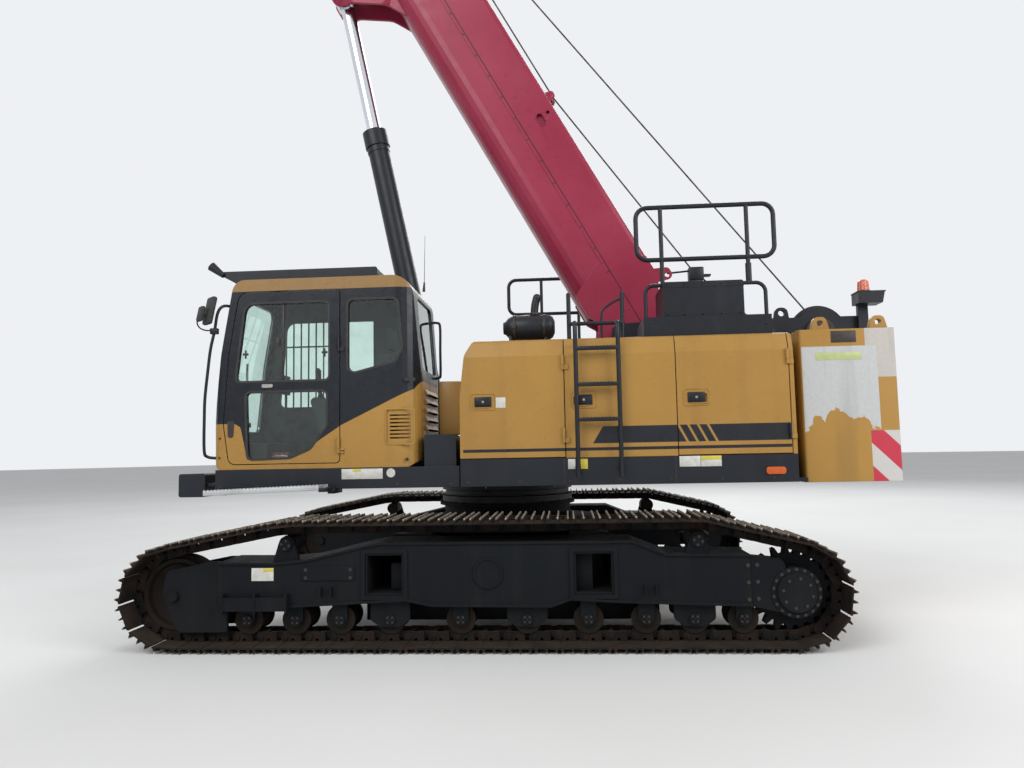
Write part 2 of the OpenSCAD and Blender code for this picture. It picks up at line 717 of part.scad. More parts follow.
module front_opening(x0, x1, g) {
    translate([x0, 0, 0]) rotate([90, 0, 90]) linear_extrude(x1 - x0) polygon(rounded(inset([
        [cab_y0 + 110, cab_z0 + 330, 60], [cab_y1 - 110, cab_z0 + 330, 60],
        [cab_y1 - 120, cab_z1 - 130, 80], [cab_y0 + 120, cab_z1 - 130, 80]
    ], -g)));
}

module rear_opening(x0, x1, g) {
    translate([x0, 0, 0]) rotate([90, 0, 90]) linear_extrude(x1 - x0) polygon(rounded(inset([
        [cab_y0 + 120, cab_z0 + 820, 60], [cab_y1 - 230, cab_z0 + 820, 60],
        [cab_y1 - 230, cab_z1 - 150, 60], [cab_y0 + 120, cab_z1 - 150, 60]
    ], -g)));
}

// Door knuckle, h tall, on the hinge axis at x outside the panel face y
module knuckle(x, y, z, h) {
    translate([x, y + hinge_r - 2, z]) cylinder(h = h, r = hinge_r, $fn = fine / 2);
}

// Fixed knuckle that carries a door's knuckle from below, with its leaf on the panel
module hinge_seat(x, y, z) {
    h = 40 - seat_gap;
    translate([x, y + hinge_r - 2, z - 40]) cylinder(h = h, r = hinge_r - 3, $fn = fine / 2);
    block([x - 48, y - 1, z - 40], [x - 16, y + 10, z - 40 + h]);
    block([x - 48, y + 2, z - 40], [x, y + 10, z - 40 + h]);
}

cab_hinge_z = [cab_z0 + 160, cab_z0 + 1000];
hood_hinge_z = [hood_z + 160, shoulder_z - 80];

// Rim and slots of the air inlet low on the cab's side
inlet_x = 755;
inlet_z = 1670;
inlet_rim = [[inlet_x - 125, inlet_z - 150, 25], [inlet_x + 125, inlet_z - 150, 25],
    [inlet_x + 125, inlet_z + 150, 25], [inlet_x - 125, inlet_z + 150, 25]];

module inlet_slots() {
    side_pane(cab_y1 - 10, 20, inlet_rim, -12);
    for (i = [-3:3]) block([inlet_x - 88, cab_y1 - panel_t - 1, inlet_z + 31 * i - 6],
        [inlet_x + 88, cab_y1, inlet_z + 31 * i + 6]);
}

// Hooded louvres across the cab's rear wall, at height z
module louvre(z) {
    plate(620, 560, [[cab_rear + 1, z], [cab_rear - 28, z], [cab_rear - 22, z + 14], [cab_rear + 1, z + 52]]);
}

module louvre_slot(z) {
    block([cab_rear - 30, 640, z - 1], [cab_rear + panel_t + 1, 1160, z + 12]);
}

louvre_z = [for (i = [0:4]) cab_z0 + 300 + 76 * i];

// Cab shell: roof, floor, walls and pillars as one pressed and welded frame
module cab_shell() {
    color("goldenrod") for (z = cab_hinge_z) hinge_seat(hinge_x, cab_y1, z);
    color("goldenrod") difference() {
        union() {
            cab_solid(0);
            side_pane(cab_y1 - 1, 5, inlet_rim, 0);
            for (z = louvre_z) louvre(z);
        }
        cab_solid(panel_t);
        inlet_slots();
        for (z = louvre_z) louvre_slot(z);
        side_pane(cab_y1 - 100, 200, door_side, door_gap);
        side_pane(cab_y1 - 100, 200, rear_pane, 0);
        side_pane(cab_y0 - 100, 200, right_pane, 0);
        front_opening(cab_front - 250, cab_front + 100, 0);
        rear_opening(cab_rear - 50, cab_rear + 150, 0);
    }
}

// Fixed panes, each just inside its opening's edge
module cab_glass() {
    color("lightblue", 0.4) {
        side_pane(cab_y1 - 25, glass_t, rear_pane, -seat_gap);
        side_pane(cab_y0 + 20, glass_t, right_pane, -seat_gap);
        intersection() {
            front_opening(cab_front - 260, cab_front + 100, -seat_gap);
            difference() {
                plate(cab_y0, cab_y1 - cab_y0, rounded(inset(cab_side, 15)));
                plate(cab_y0 - 1, cab_y1 - cab_y0 + 2, rounded(inset(cab_side, 15 + glass_t)));
            }
        }
        intersection() {
            rear_opening(cab_rear - 50, cab_rear + 150, -seat_gap);
            difference() {
                plate(cab_y0, cab_y1 - cab_y0, rounded(inset(cab_side, 15)));
                plate(cab_y0 - 1, cab_y1 - cab_y0 + 2, rounded(inset(cab_side, 15 + glass_t)));
            }
        }
    }
}

// Door leaf with its frame; it hangs at its rear edge
module cab_door() {
    color("#2b2f38") difference() {
        union() {
            side_pane(cab_y1 - panel_t, panel_t, door_side, 0);
            for (z = cab_hinge_z) knuckle(hinge_x, cab_y1, z, 90);
        }
        side_pane(cab_y1 - 100, 200, door_pane_high, 0);
        side_pane(cab_y1 - 100, 200, door_pane_low, 0);
    }
}
module cab_door_glass() {
    color("lightblue", 0.4) {
        side_pane(cab_y1 - 25, glass_t, door_pane_high, -seat_gap);
        side_pane(cab_y1 - 25, glass_t, door_pane_low, -seat_gap);
    }
}

// Seat on its pedestal, two consoles with levers, and the front pedals
module cab_interior() {
    floor_z = cab_z0 + panel_t + seat_gap;
    mid = (cab_y0 + cab_y1) / 2;
    color("#30343a") {
        block([1000, mid - 200, floor_z], [1400, mid + 200, floor_z + 260]);
        plate(mid - 250, 500, rounded([
            [960, floor_z + 259, 20], [1480, floor_z + 259, 40], [1500, floor_z + 400, 50],
            [1120, floor_z + 380, 60], [1000, floor_z + 950, 60], [880, floor_z + 930, 60]
        ]));
        for (y = [mid - 400, mid + 280])
            plate(y, 120, rounded([
                [900, floor_z, 20], [1360, floor_z, 30], [1560, floor_z + 560, 40], [900, floor_z + 480, 40]
            ]));
        for (y = [mid - 340, mid + 340])
            rod_between([1470, y, floor_z + 520], [1490, y, floor_z + 700], 18);
        plate(mid - 60, 120, rounded([
            [1900, floor_z, 10], [2180, floor_z, 20], [2200, floor_z + 180, 30], [1980, floor_z + 120, 20]
        ]));
    }
}

// Guard over the roof: a sloped frame with bars, on a strut at its front
module roof_guard() {
    low = cab_z1 + seat_gap;
    top = cab_z1 + 95;
    tip = cab_front - 25;
    bars_x = 1650;
    bars_step = 74;
    color("#2b2f38") {
        for (y = [cab_y0 + 60, cab_y1 - 90]) plate(y, 14, rounded([
            [960, low, 0], [cab_front - 240, low, 0], [cab_front - 160, low - 20, 0], [tip, top - 30, 8],
            [tip, top, 8], [960, top, 20]
        ]));
        for (x = [975, tip - 50]) block([x, cab_y0 + 73, top - 45], [x + 40, cab_y1 - 89, top - 2]);
        for (i = [1:13]) let (x = 975 + i * 92) plate(cab_y0 + 73, cab_y1 - cab_y0 - 162, [
            [x, top - 40], [x + 8, top - 40], [x + 48, top - 4], [x + 40, top - 4]
        ]);
        translate([tip - 15, cab_y1 - 75, top - 35]) rotate([0, 52, 0])
            cylinder(h = 140, r1 = 22, r2 = 40, $fn = fine);
    }
    // Bars outside the right window, on two rails
    color("#2b2f38") {
        for (z = [1870, 2490, 2750]) block([bars_x, cab_y0 - 30, z], [bars_x + 6 * bars_step + 12, cab_y0 - 18, z + 14]);
        for (i = [0:6]) block([bars_x + i * bars_step, cab_y0 - 31, 1870],
            [bars_x + i * bars_step + 12, cab_y0 - 19, 2764]);
        for (x = [bars_x, bars_x + 6 * bars_step]) for (z = [1850, 2750])
            block([x - 6, cab_y0 - 31, z], [x + 18, cab_y0 - seat_gap, z + 30]);
    }
}

// Mirror on its long bent arm at the cab's front corner
module side_mirror() {
    y = cab_y1 + 30;
    color("#1d1f23") {
        tube([[cab_face_x(2738) + seat_gap, cab_y1 - 70, 2750], [cab_front - 75, cab_y1 - 70, 2750],
            [cab_front + 40, y, 2735], [cab_front + 85, y, 2540], [cab_front + 145, y, 1560],
            [cab_front + 60, y - 80, 1430], [cab_front - 20 + seat_gap + 6, y - 80, 1425]], 12);
        translate([cab_front + 125, y - 100, 2590]) rotate([0, 0, -15]) plate(0, 200, rounded([
            [0, 0, 25], [80, 0, 35], [80, 260, 35], [0, 260, 25]
        ]));
        block([cab_front + 40, y - 15, 2690], [cab_front + 150, y + 15, 2720]);
        block([cab_front + 65, y - 26, 2545], [cab_front + 110, y + 26, 2585]);
    }
}

// Serrated step along the deck's edge under the cab
module cab_step() {
    color("silver") {
        difference() {
            block([1260, hood_y - 10, 1130], [2310, hood_y + 250, 1165]);
            for (i = [0:20]) block([1280 + i * 49, hood_y + 20, 1120], [1310 + i * 49, hood_y + 220, 1170]);
        }
        for (x = [1300, 2240]) block([x, hood_y - 200, 1134], [x + 40, hood_y - 9, frame_z - seat_gap]);
    }
}

// Hood outline in X and Z, then in Y and Z
hood_side = [
    [-hood_rear, hood_z, 0], [hood_front, hood_z, 0], [hood_front, 1900, 300], [hood_front - 40, 2240, 120],
    [hood_front - 110, hood_top, 60], [-hood_rear, hood_top, 30]
];
hood_section = [
    [hood_inner_y, hood_z, 0], [hood_y, hood_z, 0], [hood_y, shoulder_z, 20], [hood_y - shoulder_in, hood_top, 40],
    [hood_inner_y, hood_top, 30]
];

module hood_solid(t) {
    intersection() {
        plate(hood_inner_y - 50, hood_y - hood_inner_y + 100, rounded(inset(hood_side, t)));
        along_x(-hood_rear - 100, hood_rear + hood_front + 200, rounded(inset(hood_section, t)));
    }
}

// Room of a hood door between two places, grown by g; it wraps round the hood's upper edge
module door_room(x0, x1, g) {
    block([x0 - g, hood_y - door_return - g, hood_z + door_gap - 2 * g], [x1 + g, hood_y + 10, hood_top + 10]);
}

// Pressed frame round a latch, and the recess inside it
module latch_frame(x) {
    plate(hood_y - 1, 6, rounded([for (c = [[-68, -46], [68, -46], [68, 46], [-68, 46]])
        [x + c.x, latch_z + c.y, 16]]));
}

module latch_recess(x) {
    plate(hood_y - 10, 20, rounded([for (c = [[-56, -34], [56, -34], [56, 34], [-56, 34]])
        [x + c.x, latch_z + c.y, 8]]));
}

rear_door_x = -hood_rear + panel_t;

// Left hood: open below, closed middle panel, openings for the front and rear doors
module hood_left() {
    latch = door_split_front - 120;
    color("goldenrod") for (x = [door_split_front + 18, rear_door_x + 8]) for (z = hood_hinge_z)
        hinge_seat(x, hood_y, z);
    color("goldenrod") difference() {
        union() {
            hood_solid(0);
            latch_frame(latch);
        }
        hood_solid(panel_t);
        block([-hood_rear + panel_t, hood_inner_y + panel_t, hood_z - 1],
            [hood_front - panel_t, hood_y - panel_t, hood_z + panel_t + 1]);
        door_room(door_split_front + 10, hood_front + 50, door_gap);
        door_room(rear_door_x, door_split_rear - 10, door_gap);
        latch_recess(latch);
    }
}

// Hood door between two places: side panel and the edge that wraps over the hood, hinged at its
// rear edge, with a recessed latch near its front edge
module hood_door(x0, x1) {
    latch = min(x1, hood_front) - 180;
    difference() {
        union() {
            intersection() {
                hood_solid(0);
                door_room(x0, x1, 0);
            }
            latch_frame(latch);
        }
        hood_solid(panel_t);
        latch_recess(latch);
    }
    for (z = hood_hinge_z) knuckle(x0 + 8, hood_y, z, 80);
}

module hood_door_front() {
    color("goldenrod") hood_door(door_split_front + 10, hood_front + 50);
}

module hood_door_rear() {
    color("goldenrod") hood_door(rear_door_x, door_split_rear - 10);
}

// Right hood over the tanks, the pumps and the cooler: closed, with the panels' joints as grooves
// and an air grille at its rear
module hood_right() {
    color("goldenrod") other_side() difference() {
        union() {
            hood_solid(0);
            for (x = [0, door_split_front - 120, door_split_rear - 120]) latch_frame(x);
        }
        hood_solid(panel_t);
        block([-hood_rear + panel_t, hood_inner_y + panel_t, hood_z - 1],
            [hood_front - panel_t, hood_y - panel_t, hood_z + panel_t + 1]);
        for (x = [door_split_front, door_split_rear, rear_door_x]) block([x, hood_y - 8, hood_z - 1],
            [x + 8, hood_y + 1, shoulder_z]);
        for (x = [0, door_split_front - 120, door_split_rear - 120]) latch_recess(x);
        for (i = [0:7]) block([-2200, hood_y - panel_t - 1, 1960 + 28 * i], [-1700, hood_y + 1, 1974 + 28 * i]);
        for (i = [0:7]) block([-2200, hood_y - panel_t - 1, 1520 + 28 * i], [-1700, hood_y + 1, 1534 + 28 * i]);
    }
}

// Ladder in front of the middle panel, bent in over the hood's edge
module ladder() {
    color("#1d1f23") {
        for (x = [-690, -1030]) tube([[x, hood_y + 70, 1230], [x, hood_y + 70, hood_top + 40],
            [x, hood_y - 150, 2700], [x, hood_y - 190, 2790]], 18);
        for (z = [1690, 1970, 2260]) block([-1015, hood_y + 50, z - 15], [-705, hood_y + 90, z + 15]);
        for (x = [-690, -1030]) block([x - 15, hood_y - 1 + seat_gap + 1, 1300], [x + 15, hood_y + 60, 1330]);
    }
}

// Engine as one plain block inside the left hood
module engine_block() {
    color("gray") block([-2200, 620, frame_z + deck_t], [-1150, 1330, 2050]);
}

// Counterweight: cast block with cut rear corners, a well for the winches and two lifting lugs
module counterweight() {
    x0 = -weight_front - weight_depth;
    x1 = -weight_front;
    bottom = 1160;
    top = 2380;
    color("goldenrod") difference() {
        union() {
            difference() {
                slab(bottom, top - bottom, rounded([
                    [x0, -weight_y + 160, 60], [x0 + 120, -weight_y, 60], [x1, -weight_y, 10],
                    [x1, weight_y, 10], [x0 + 120, weight_y, 60], [x0, weight_y - 160, 60]
                ]));
                block([x0 - 1, -web_y - 90, 1960], [x1 + 1, web_y + 90, top + 1]);
                block([x0 + 170, -weight_y + 250, bottom - 1], [x1 - 120, weight_y - 250, 1700]);
            }
            for (y = [-weight_y + 120, weight_y - 180]) for (x = [x0 + 100, x1 - 180])
                plate(y, 60, rounded([[x - 90, top - 20, 0], [x + 90, top - 20, 0],
                    [x + 60, top + 120, 55], [x - 60, top + 120, 55]]));
        }
        for (x = [x0 + 100, x1 - 180]) across(x, -weight_y, weight_y, top + 60, lift_bore_r);
    }
}

// Rails round the top of the hoods, and the grab rail behind the cab
module handrails() {
    color("#1d1f23") {
        for (side = [0, 1]) mirror([0, side, 0]) {
            foot = side == 0 ? box_top : hood_top;
            bent_tube(side_rail_y, [[-1800, rail_top], [-2385, rail_top], [-2385, rail_low], [-1255, rail_low],
                [-1255, rail_top], [-1800, rail_top]], rail_bend, 20);
            for (x = [-1446, -2060]) tube([[x, side_rail_y, foot + seat_gap], [x, side_rail_y, rail_top - 2]], 18);
        }
        bent_tube(-side_rail_y, [[-850, hood_top + seat_gap], [-850, rail_top - 45], [40, rail_top - 45],
            [40, rail_low], [-849, rail_low]], rail_bend, 20);
        tube([[-350, -side_rail_y, hood_top + seat_gap], [-350, -side_rail_y, rail_top - 47]], 18);
        bent_tube(600, [[cab_rear + 42 - seat_gap, 2640], [cab_rear - 40, 2640], [cab_rear - 40, 2180],
            [cab_rear + 6 - seat_gap, 2180]], 40, 12);
    }
}

// Drum with its two flanges and the motor boss on one side
module winch(x, z, drum_r, flange_r) {
    across(x, -drum_half, drum_half, z, drum_r);
    for (y = [-drum_half, drum_half - 20]) across(x, y, y + 20, z, flange_r);
    across(x, -web_y + seat_gap, web_y - seat_gap, z, drum_r - 40);
}

module winch_main() {
    color("dimgray") winch(-winch_x, winch_z, 170, 265);
}

module winch_aux() {
    color("dimgray") winch(-aux_x, aux_z, 140, 210);
}

// Silencer box on the hood's top: a ledge, the box and a hoop at each end
module top_box() {
    color("#1d1f23") {
        block([-2285, 800, hood_top + seat_gap], [-1255, 1400, box_ledge]);
        plate(850, 500, rounded([
            [-2083, box_ledge - 1, 0], [-1425, box_ledge - 1, 0], [-1425, box_top, 15], [-2083, box_top, 15]
        ]));
        bent_tube(1310, [[-1285, box_ledge - 1], [-1285, box_top - 20], [-1426, box_top - 20]], 70, 16);
        bent_tube(1310, [[-2082, box_top - 20], [-2268, box_top - 20], [-2268, box_ledge - 1]], 80, 16);
    }
}

// Warning beacon on its flared box behind the winches
module beacon_post() {
    wall = web_y + web_t + seat_gap;
    color("#1d1f23") {
        plate(wall, 50, [[-3425, 2500], [-3335, 2500], [-3335, 2742], [-3425, 2742]]);
        plate(wall, 170, [[-3515, 2740], [-3300, 2740], [-3300, 2850], [-3540, 2850]]);
    }
    color("orange") translate([-3380, wall + 85, 2849]) cylinder(h = 105, r1 = 52, r2 = 44, $fn = fine);
}

// Intake air cleaner lying on the hood, with its bent stack and rain cap
module air_cleaner() {
    y = 1100;
    color("#1d1f23") {
        translate([-510, y, 2510]) rotate([0, 90, 0]) cylinder(h = 420, r = 110, $fn = fine);
        for (x = [-460, -160]) block([x, y - 60, hood_top + seat_gap], [x + 30, y + 60, 2460]);
        tube([[-360, y, 2550], [-360, y, 2700], [-330, y, 2760]], 50);
        translate([-330, y, 2740]) cylinder(h = 80, r1 = 60, r2 = 75, $fn = fine);
    }
}

// Boom sections: flat top, rounded bottom

function boom_section(w, d, rb, rt) = concat(
    arc([w / 2 - rb, -d / 2 + rb], rb, -90, 0, 6), arc([w / 2 - rt, d / 2 - rt], rt, 0, 90, 3),
    arc([-w / 2 + rt, d / 2 - rt], rt, 90, 180, 3), arc([-w / 2 + rb, -d / 2 + rb], rb, 180, 270, 6));
function step_section(k, t) = boom_section(boom_w - 2 * k * section_step - 2 * t,
    boom_d - 2 * k * section_step - 2 * t, section_rb - k * section_step - t,
    max(section_rt - k * section_step - t, 6));

// Tube of section k between two distances from the foot pin
module boom_tube(k, s0, s1) {
    translate([0, 0, pivot_drop]) difference() {
        along_x(s0, s1 - s0, step_section(k, 0));
        along_x(s0 - 1, s1 - s0 + 2, step_section(k, boom_t));
    }
}

// Collar round the head end of section k
module boom_collar(k, s1, length, t) {
    translate([0, 0, pivot_drop]) difference() {
        along_x(s1 - length, length, step_section(k, -t));
        along_x(s1 - length - 1, length + 2, step_section(k, boom_t / 2));
    }
}

// Wear pads between sections k and k + 1: below at the head, above at the tail
module pad_below(k, s1) {
    z = pivot_drop - boom_d / 2 + k * section_step + boom_t;
    block([s1 - 220, -70, z - 1], [s1 - 20, 70, z + boom_gap - seat_gap]);
}

module pad_above(k, s0) {
    z = pivot_drop + boom_d / 2 - k * section_step;
    block([s0 + 20, -120, z - 1], [s0 + 220, 120, z + boom_gap - seat_gap]);
}

module boom_base() {
    color("crimson") on_boom() {
        difference() {
            boom_tube(0, tail_s, base_length);
            plate(-boom_w / 2 - 1, boom_w + 2, rounded([for (c = [[-65, -32], [65, -32], [65, 32], [-65, 32]])
                [window_s + c.x, window_t + c.y, 31]]));
            across(window_s + 30, -boom_w / 2 - 1, boom_w / 2 + 1, window_t + 95, 18);
        }
        for (y = [-boom_w / 2 - 4, boom_w / 2 - 1]) block([tail_s + 200, y, 565], [base_length - 200, y + 5, 595]);
        tail_guide();
        boom_collar(0, base_length, 160, 25);
        pad_below(0, base_length);
        difference() {
            union() {
                for (y = [-boom_w / 2 - 30, boom_w / 2]) plate(y, 30, rounded([
                    [150, -90, 60], [tail_s + 300, pivot_drop - boom_d / 2, 40], [tail_s + 900, pivot_drop, 80],
                    [tail_s + 300, pivot_drop + boom_d / 2, 20], [tail_s, pivot_drop + boom_d / 2, 40],
                    [230, 780, 60], [-150, 330, 100], [-150, -90, 120]
                ]));
                across(0, -web_y + seat_gap, -boom_w / 2, 0, 120);
                across(0, boom_w / 2, web_y - seat_gap, 0, 120);
            }
            across(0, -web_y, web_y, 0, foot_pin_r + pin_gap);
        }
        translate([tail_s, 0, pivot_drop]) along_x(0, 30, step_section(0, boom_t - 1));
        difference() {
            for (y = [-cheek_y - cheek_t, cheek_y]) plate(y, cheek_t, rounded([
                [rod_along - 590, underside_t + 20, 0], [rod_along - 360, underside_t - 105, 200],
                [rod_along - 150, rod_pin_t + 40, 100],
                [rod_along - 120, rod_pin_t - 125, 110], [rod_along + 140, rod_pin_t - 130, 120],
                [rod_along + 300, underside_t - 200, 100], [rod_along + 560, underside_t + 30, 0]
            ]));
        }
        for (y = [-cheek_y - cheek_t - 35, cheek_y + cheek_t])
            across(rod_along, y, y + 35, rod_pin_t, 70);
        for (s = guide_s) rope_guide(s);
    }
}

// Rope guide on the boom's top face: two ears and a roller
module rope_guide(s) {
    for (y = [-90, 70]) plate(y, 20, rounded([
        [s - 60, top_t - 1, 0], [s + 60, top_t - 1, 0], [s + 35, top_t + 110, 30], [s - 35, top_t + 110, 30]
    ]));
    across(s, -71, 71, top_t + 75, 22);
}

// Guide at the boom's tail: two bent arms that hold a roller over the winches' rope
module tail_guide() {
    for (y = [-62, 50]) plate(y, 12, rounded([
        [tail_s + 10, top_t - 1, 0], [tail_s + 150, top_t - 1, 0], [tail_s + 90, top_t + 190, 60],
        [tail_s - 110, top_t + 420, 38], [tail_s - 190, top_t + 370, 38], [tail_s + 5, top_t + 120, 60]
    ]));
    across(tail_s - 130, -61, 61, top_t + 370, 36);
    across(tail_s + 50, -66, 66, top_t + 160, 20);
}

module boom_tele_1() {
    color("crimson") on_boom() {
        boom_tube(1, 800, base_length + collar_step);
        boom_collar(1, base_length + collar_step, 100, 20);
        pad_below(1, base_length + collar_step);
        pad_above(1, 800);
    }
}

module boom_tele_2() {
    color("crimson") on_boom() {
        boom_tube(2, 900, base_length + 2 * collar_step);
        boom_collar(2, base_length + 2 * collar_step, 90, 20);
        pad_below(2, base_length + 2 * collar_step);
        pad_above(2, 900);
    }
}

// Innermost section with the head that carries the sheaves
module boom_tele_3() {
    head_y = 150;
    color("crimson") on_boom() {
        boom_tube(3, 1000, tip_s);
        pad_above(3, 1000);
        difference() {
            union() {
                for (y = [-head_y - 30, head_y]) plate(y, 30, rounded([
                    [tip_s - 140, 300, 40], [head_s - 140, head_t - 140, 120],
                    [head_s + 140, head_t - 140, 120], [head_s + 160, 300, 150], [head_s + 60, 860, 60],
                    [head_s - 80, 1130, 60], [head_s - 320, 1130, 60], [tip_s - 140, 860, 40]
                ]));
            }
            across(head_s + 60, -head_y - 31, head_y + 31, 520, jib_bore_r);
        }
        block([head_s - 500, -head_y - 1, 560], [head_s - 460, head_y + 1, 760]);
        for (s = [[head_s, head_t], [head_s - 200, 1010]])
            across(s[0], -head_y - 40, head_y + 40, s[1], 30);
    }
}

// Grooved sheave across the machine
module sheave(x, y, z, r) {
    translate([x, y, z]) rotate([90, 0, 0]) rotate_extrude($fn = fine) polygon([
        [30.05, -22], [r, -22], [r - groove_d, -6], [r - groove_d, 6], [r, 22], [30.05, 22]
    ]);
}

module head_sheaves() {
    color("dimgray") on_boom() {
        for (y = [-100, -50, 0, 50, 100]) sheave(head_s, y, head_t, sheave_r);
        for (y = [-25, 25]) sheave(head_s - 200, y, 1010, 120);
    }
}

// Cylinder barrel with its foot eye and its gland
module luff_barrel() {
    color("#1d1f23") on_cylinder() difference() {
        union() {
            across(0, -110, 110, 0, 140);
            translate([90, 0, 0]) rotate([0, 90, 0]) cylinder(h = barrel_l - 90, r = barrel_d / 2, $fn = fine);
            translate([barrel_l - 170, 0, 0]) rotate([0, 90, 0])
                cylinder(h = 170, r = barrel_d / 2 + 18, $fn = fine);
        }
        across(0, -120, 120, 0, cylinder_pin_r + pin_gap);
        translate([160, 0, 0]) rotate([0, 90, 0])
            cylinder(h = barrel_l - 300, r = barrel_d / 2 - 20, $fn = fine);
        translate([barrel_l - 200, 0, 0]) rotate([0, 90, 0])
            cylinder(h = 300, r = rod_d / 2 + pin_gap, $fn = fine);
    }
}

// Chrome rod with its piston and its eye; the eye's pin stops short of the boom's cheeks
module luff_rod() {
    color("gainsboro") on_cylinder() {
        translate([rod_tail, 0, 0]) rotate([0, 90, 0]) cylinder(h = cylinder_l - rod_tail, r = rod_d / 2, $fn = fine);
        translate([rod_tail, 0, 0]) rotate([0, 90, 0])
            cylinder(h = 120, r = barrel_d / 2 - 20 - pin_gap, $fn = fine);
        across(cylinder_l, -90, 90, 0, eye_r);
        across(cylinder_l, -cheek_y + seat_gap, cheek_y - seat_gap, 0, 50);
    }
}

// Hook block on its rope falls, hanging from the head sheaves
module hook_block() {
    axle = [-pivot_x + head_s * cos(boom_angle) - head_t * sin(boom_angle),
        pivot_z + head_s * sin(boom_angle) + head_t * cos(boom_angle)];
    fall_x = sheave_r - groove_d + rope_r + seat_gap;
    color("goldenrod") translate([axle.x, 0, axle.y - hang]) {
        for (y = fall_ys) {
            sheave(0, y, 0, sheave_r);
            for (x = [-fall_x, fall_x]) translate([x, y, 0]) cylinder(h = hang, r = rope_r, $fn = 16);
        }
        for (y = [-115, -12, 91]) plate(y, 24, rounded([
            [-130, -260, 60], [130, -260, 60], [225, 20, 110], [120, 150, 80], [-120, 150, 80], [-225, 20, 110]
        ]));
        across(0, -125, 125, 0, 30.05);
        block([-90, -114, -262], [90, 114, -225]);
        translate([0, 0, -350]) cylinder(h = 120, r = 32, $fn = fine);
        translate([0, 0, -430]) rotate([90, 0, 0]) rotate_extrude(angle = 270, $fn = fine)
            translate([85, 0]) circle(r = 30, $fn = fine / 2);
    }
}

carbody();
slew_ring();
side_frame_left();
side_frame_right();
cross_beams_left();
cross_beams_right();
track_left();
track_right();
idler_left();
idler_right();
drive_left();
drive_right();
rollers_left();
rollers_right();
revolving_frame();
side_sills();
cab_shell();
cab_glass();
cab_interior();
cab_door();
cab_door_glass();
roof_guard();
side_mirror();
cab_step();
hood_left();
hood_door_front();
hood_door_rear();
ladder();
hood_right();
engine_block();
counterweight();
handrails();
winch_main();
winch_aux();
top_box();
beacon_post();
air_cleaner();
boom_base();
boom_tele_1();
boom_tele_2();
boom_tele_3();
head_sheaves();
luff_barrel();
luff_rod();
hook_block();
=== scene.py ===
import math

import bmesh
import bpy
from mathutils import Matrix, Vector


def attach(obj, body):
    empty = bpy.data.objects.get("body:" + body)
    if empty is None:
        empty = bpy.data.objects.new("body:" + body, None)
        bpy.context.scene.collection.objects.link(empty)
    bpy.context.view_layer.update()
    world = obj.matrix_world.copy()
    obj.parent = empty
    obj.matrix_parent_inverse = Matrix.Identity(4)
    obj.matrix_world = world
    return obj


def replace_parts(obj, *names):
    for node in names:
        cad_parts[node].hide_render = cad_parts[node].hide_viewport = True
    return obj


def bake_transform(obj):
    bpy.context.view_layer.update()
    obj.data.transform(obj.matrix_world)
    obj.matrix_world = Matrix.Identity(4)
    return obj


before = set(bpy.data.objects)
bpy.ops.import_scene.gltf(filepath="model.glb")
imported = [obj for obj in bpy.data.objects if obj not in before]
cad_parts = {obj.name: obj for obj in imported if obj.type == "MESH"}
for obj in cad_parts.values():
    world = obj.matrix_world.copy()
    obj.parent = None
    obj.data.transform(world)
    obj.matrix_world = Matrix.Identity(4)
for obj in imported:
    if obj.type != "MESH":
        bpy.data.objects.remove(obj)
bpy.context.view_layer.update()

# Camera: it stands on the yard 7.6 m to the left of the slewing axis, at eye height, and looks
# square at the machine's left side, turned a little to the front and tilted up to the boom.
camera_place = Vector((-0.60, 7.62, 1.46))
camera_yaw = math.radians(4.0)
camera_pitch = math.radians(4.96)
camera_roll = math.radians(1.1)
focal_share = 760 / 1024
ahead = Vector((math.sin(camera_yaw) * math.cos(camera_pitch),
                -math.cos(camera_yaw) * math.cos(camera_pitch), math.sin(camera_pitch)))
level_right = ahead.cross(Vector((0, 0, 1))).normalized()
level_up = level_right.cross(ahead)
right = level_right * math.cos(camera_roll) - level_up * math.sin(camera_roll)
up = level_up * math.cos(camera_roll) + level_right * math.sin(camera_roll)
camera_data = bpy.data.cameras.new("camera")
camera_data.sensor_width = 36
camera_data.lens = 36 * focal_share
camera_data.clip_end = 400
camera = bpy.data.objects.new("camera", camera_data)
camera.matrix_world = Matrix.Translation(camera_place) @ Matrix((right, up, -ahead)).transposed().to_4x4()
bpy.context.scene.collection.objects.link(camera)
bpy.context.scene.camera = camera
bpy.context.scene.view_settings.view_transform = "Standard"


# Floor and light: a pale concrete yard without features, an even pale surround, one wide soft
# lamp from the camera's side and a weaker one from behind.
def add_piece(name, shape, finish, body):
    """Object at the origin from a bmesh, with its finish, riding on a body if one is named."""
    bmesh.ops.recalc_face_normals(shape, faces=shape.faces)
    mesh = bpy.data.meshes.new(name)
    shape.to_mesh(mesh)
    shape.free()
    mesh.shade_smooth()
    mesh.set_sharp_from_angle(angle=math.radians(35))
    piece = bpy.data.objects.new(name, mesh)
    bpy.context.scene.collection.objects.link(piece)
    mesh.materials.append(finish.material)
    if body:
        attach(piece, body)
    return piece


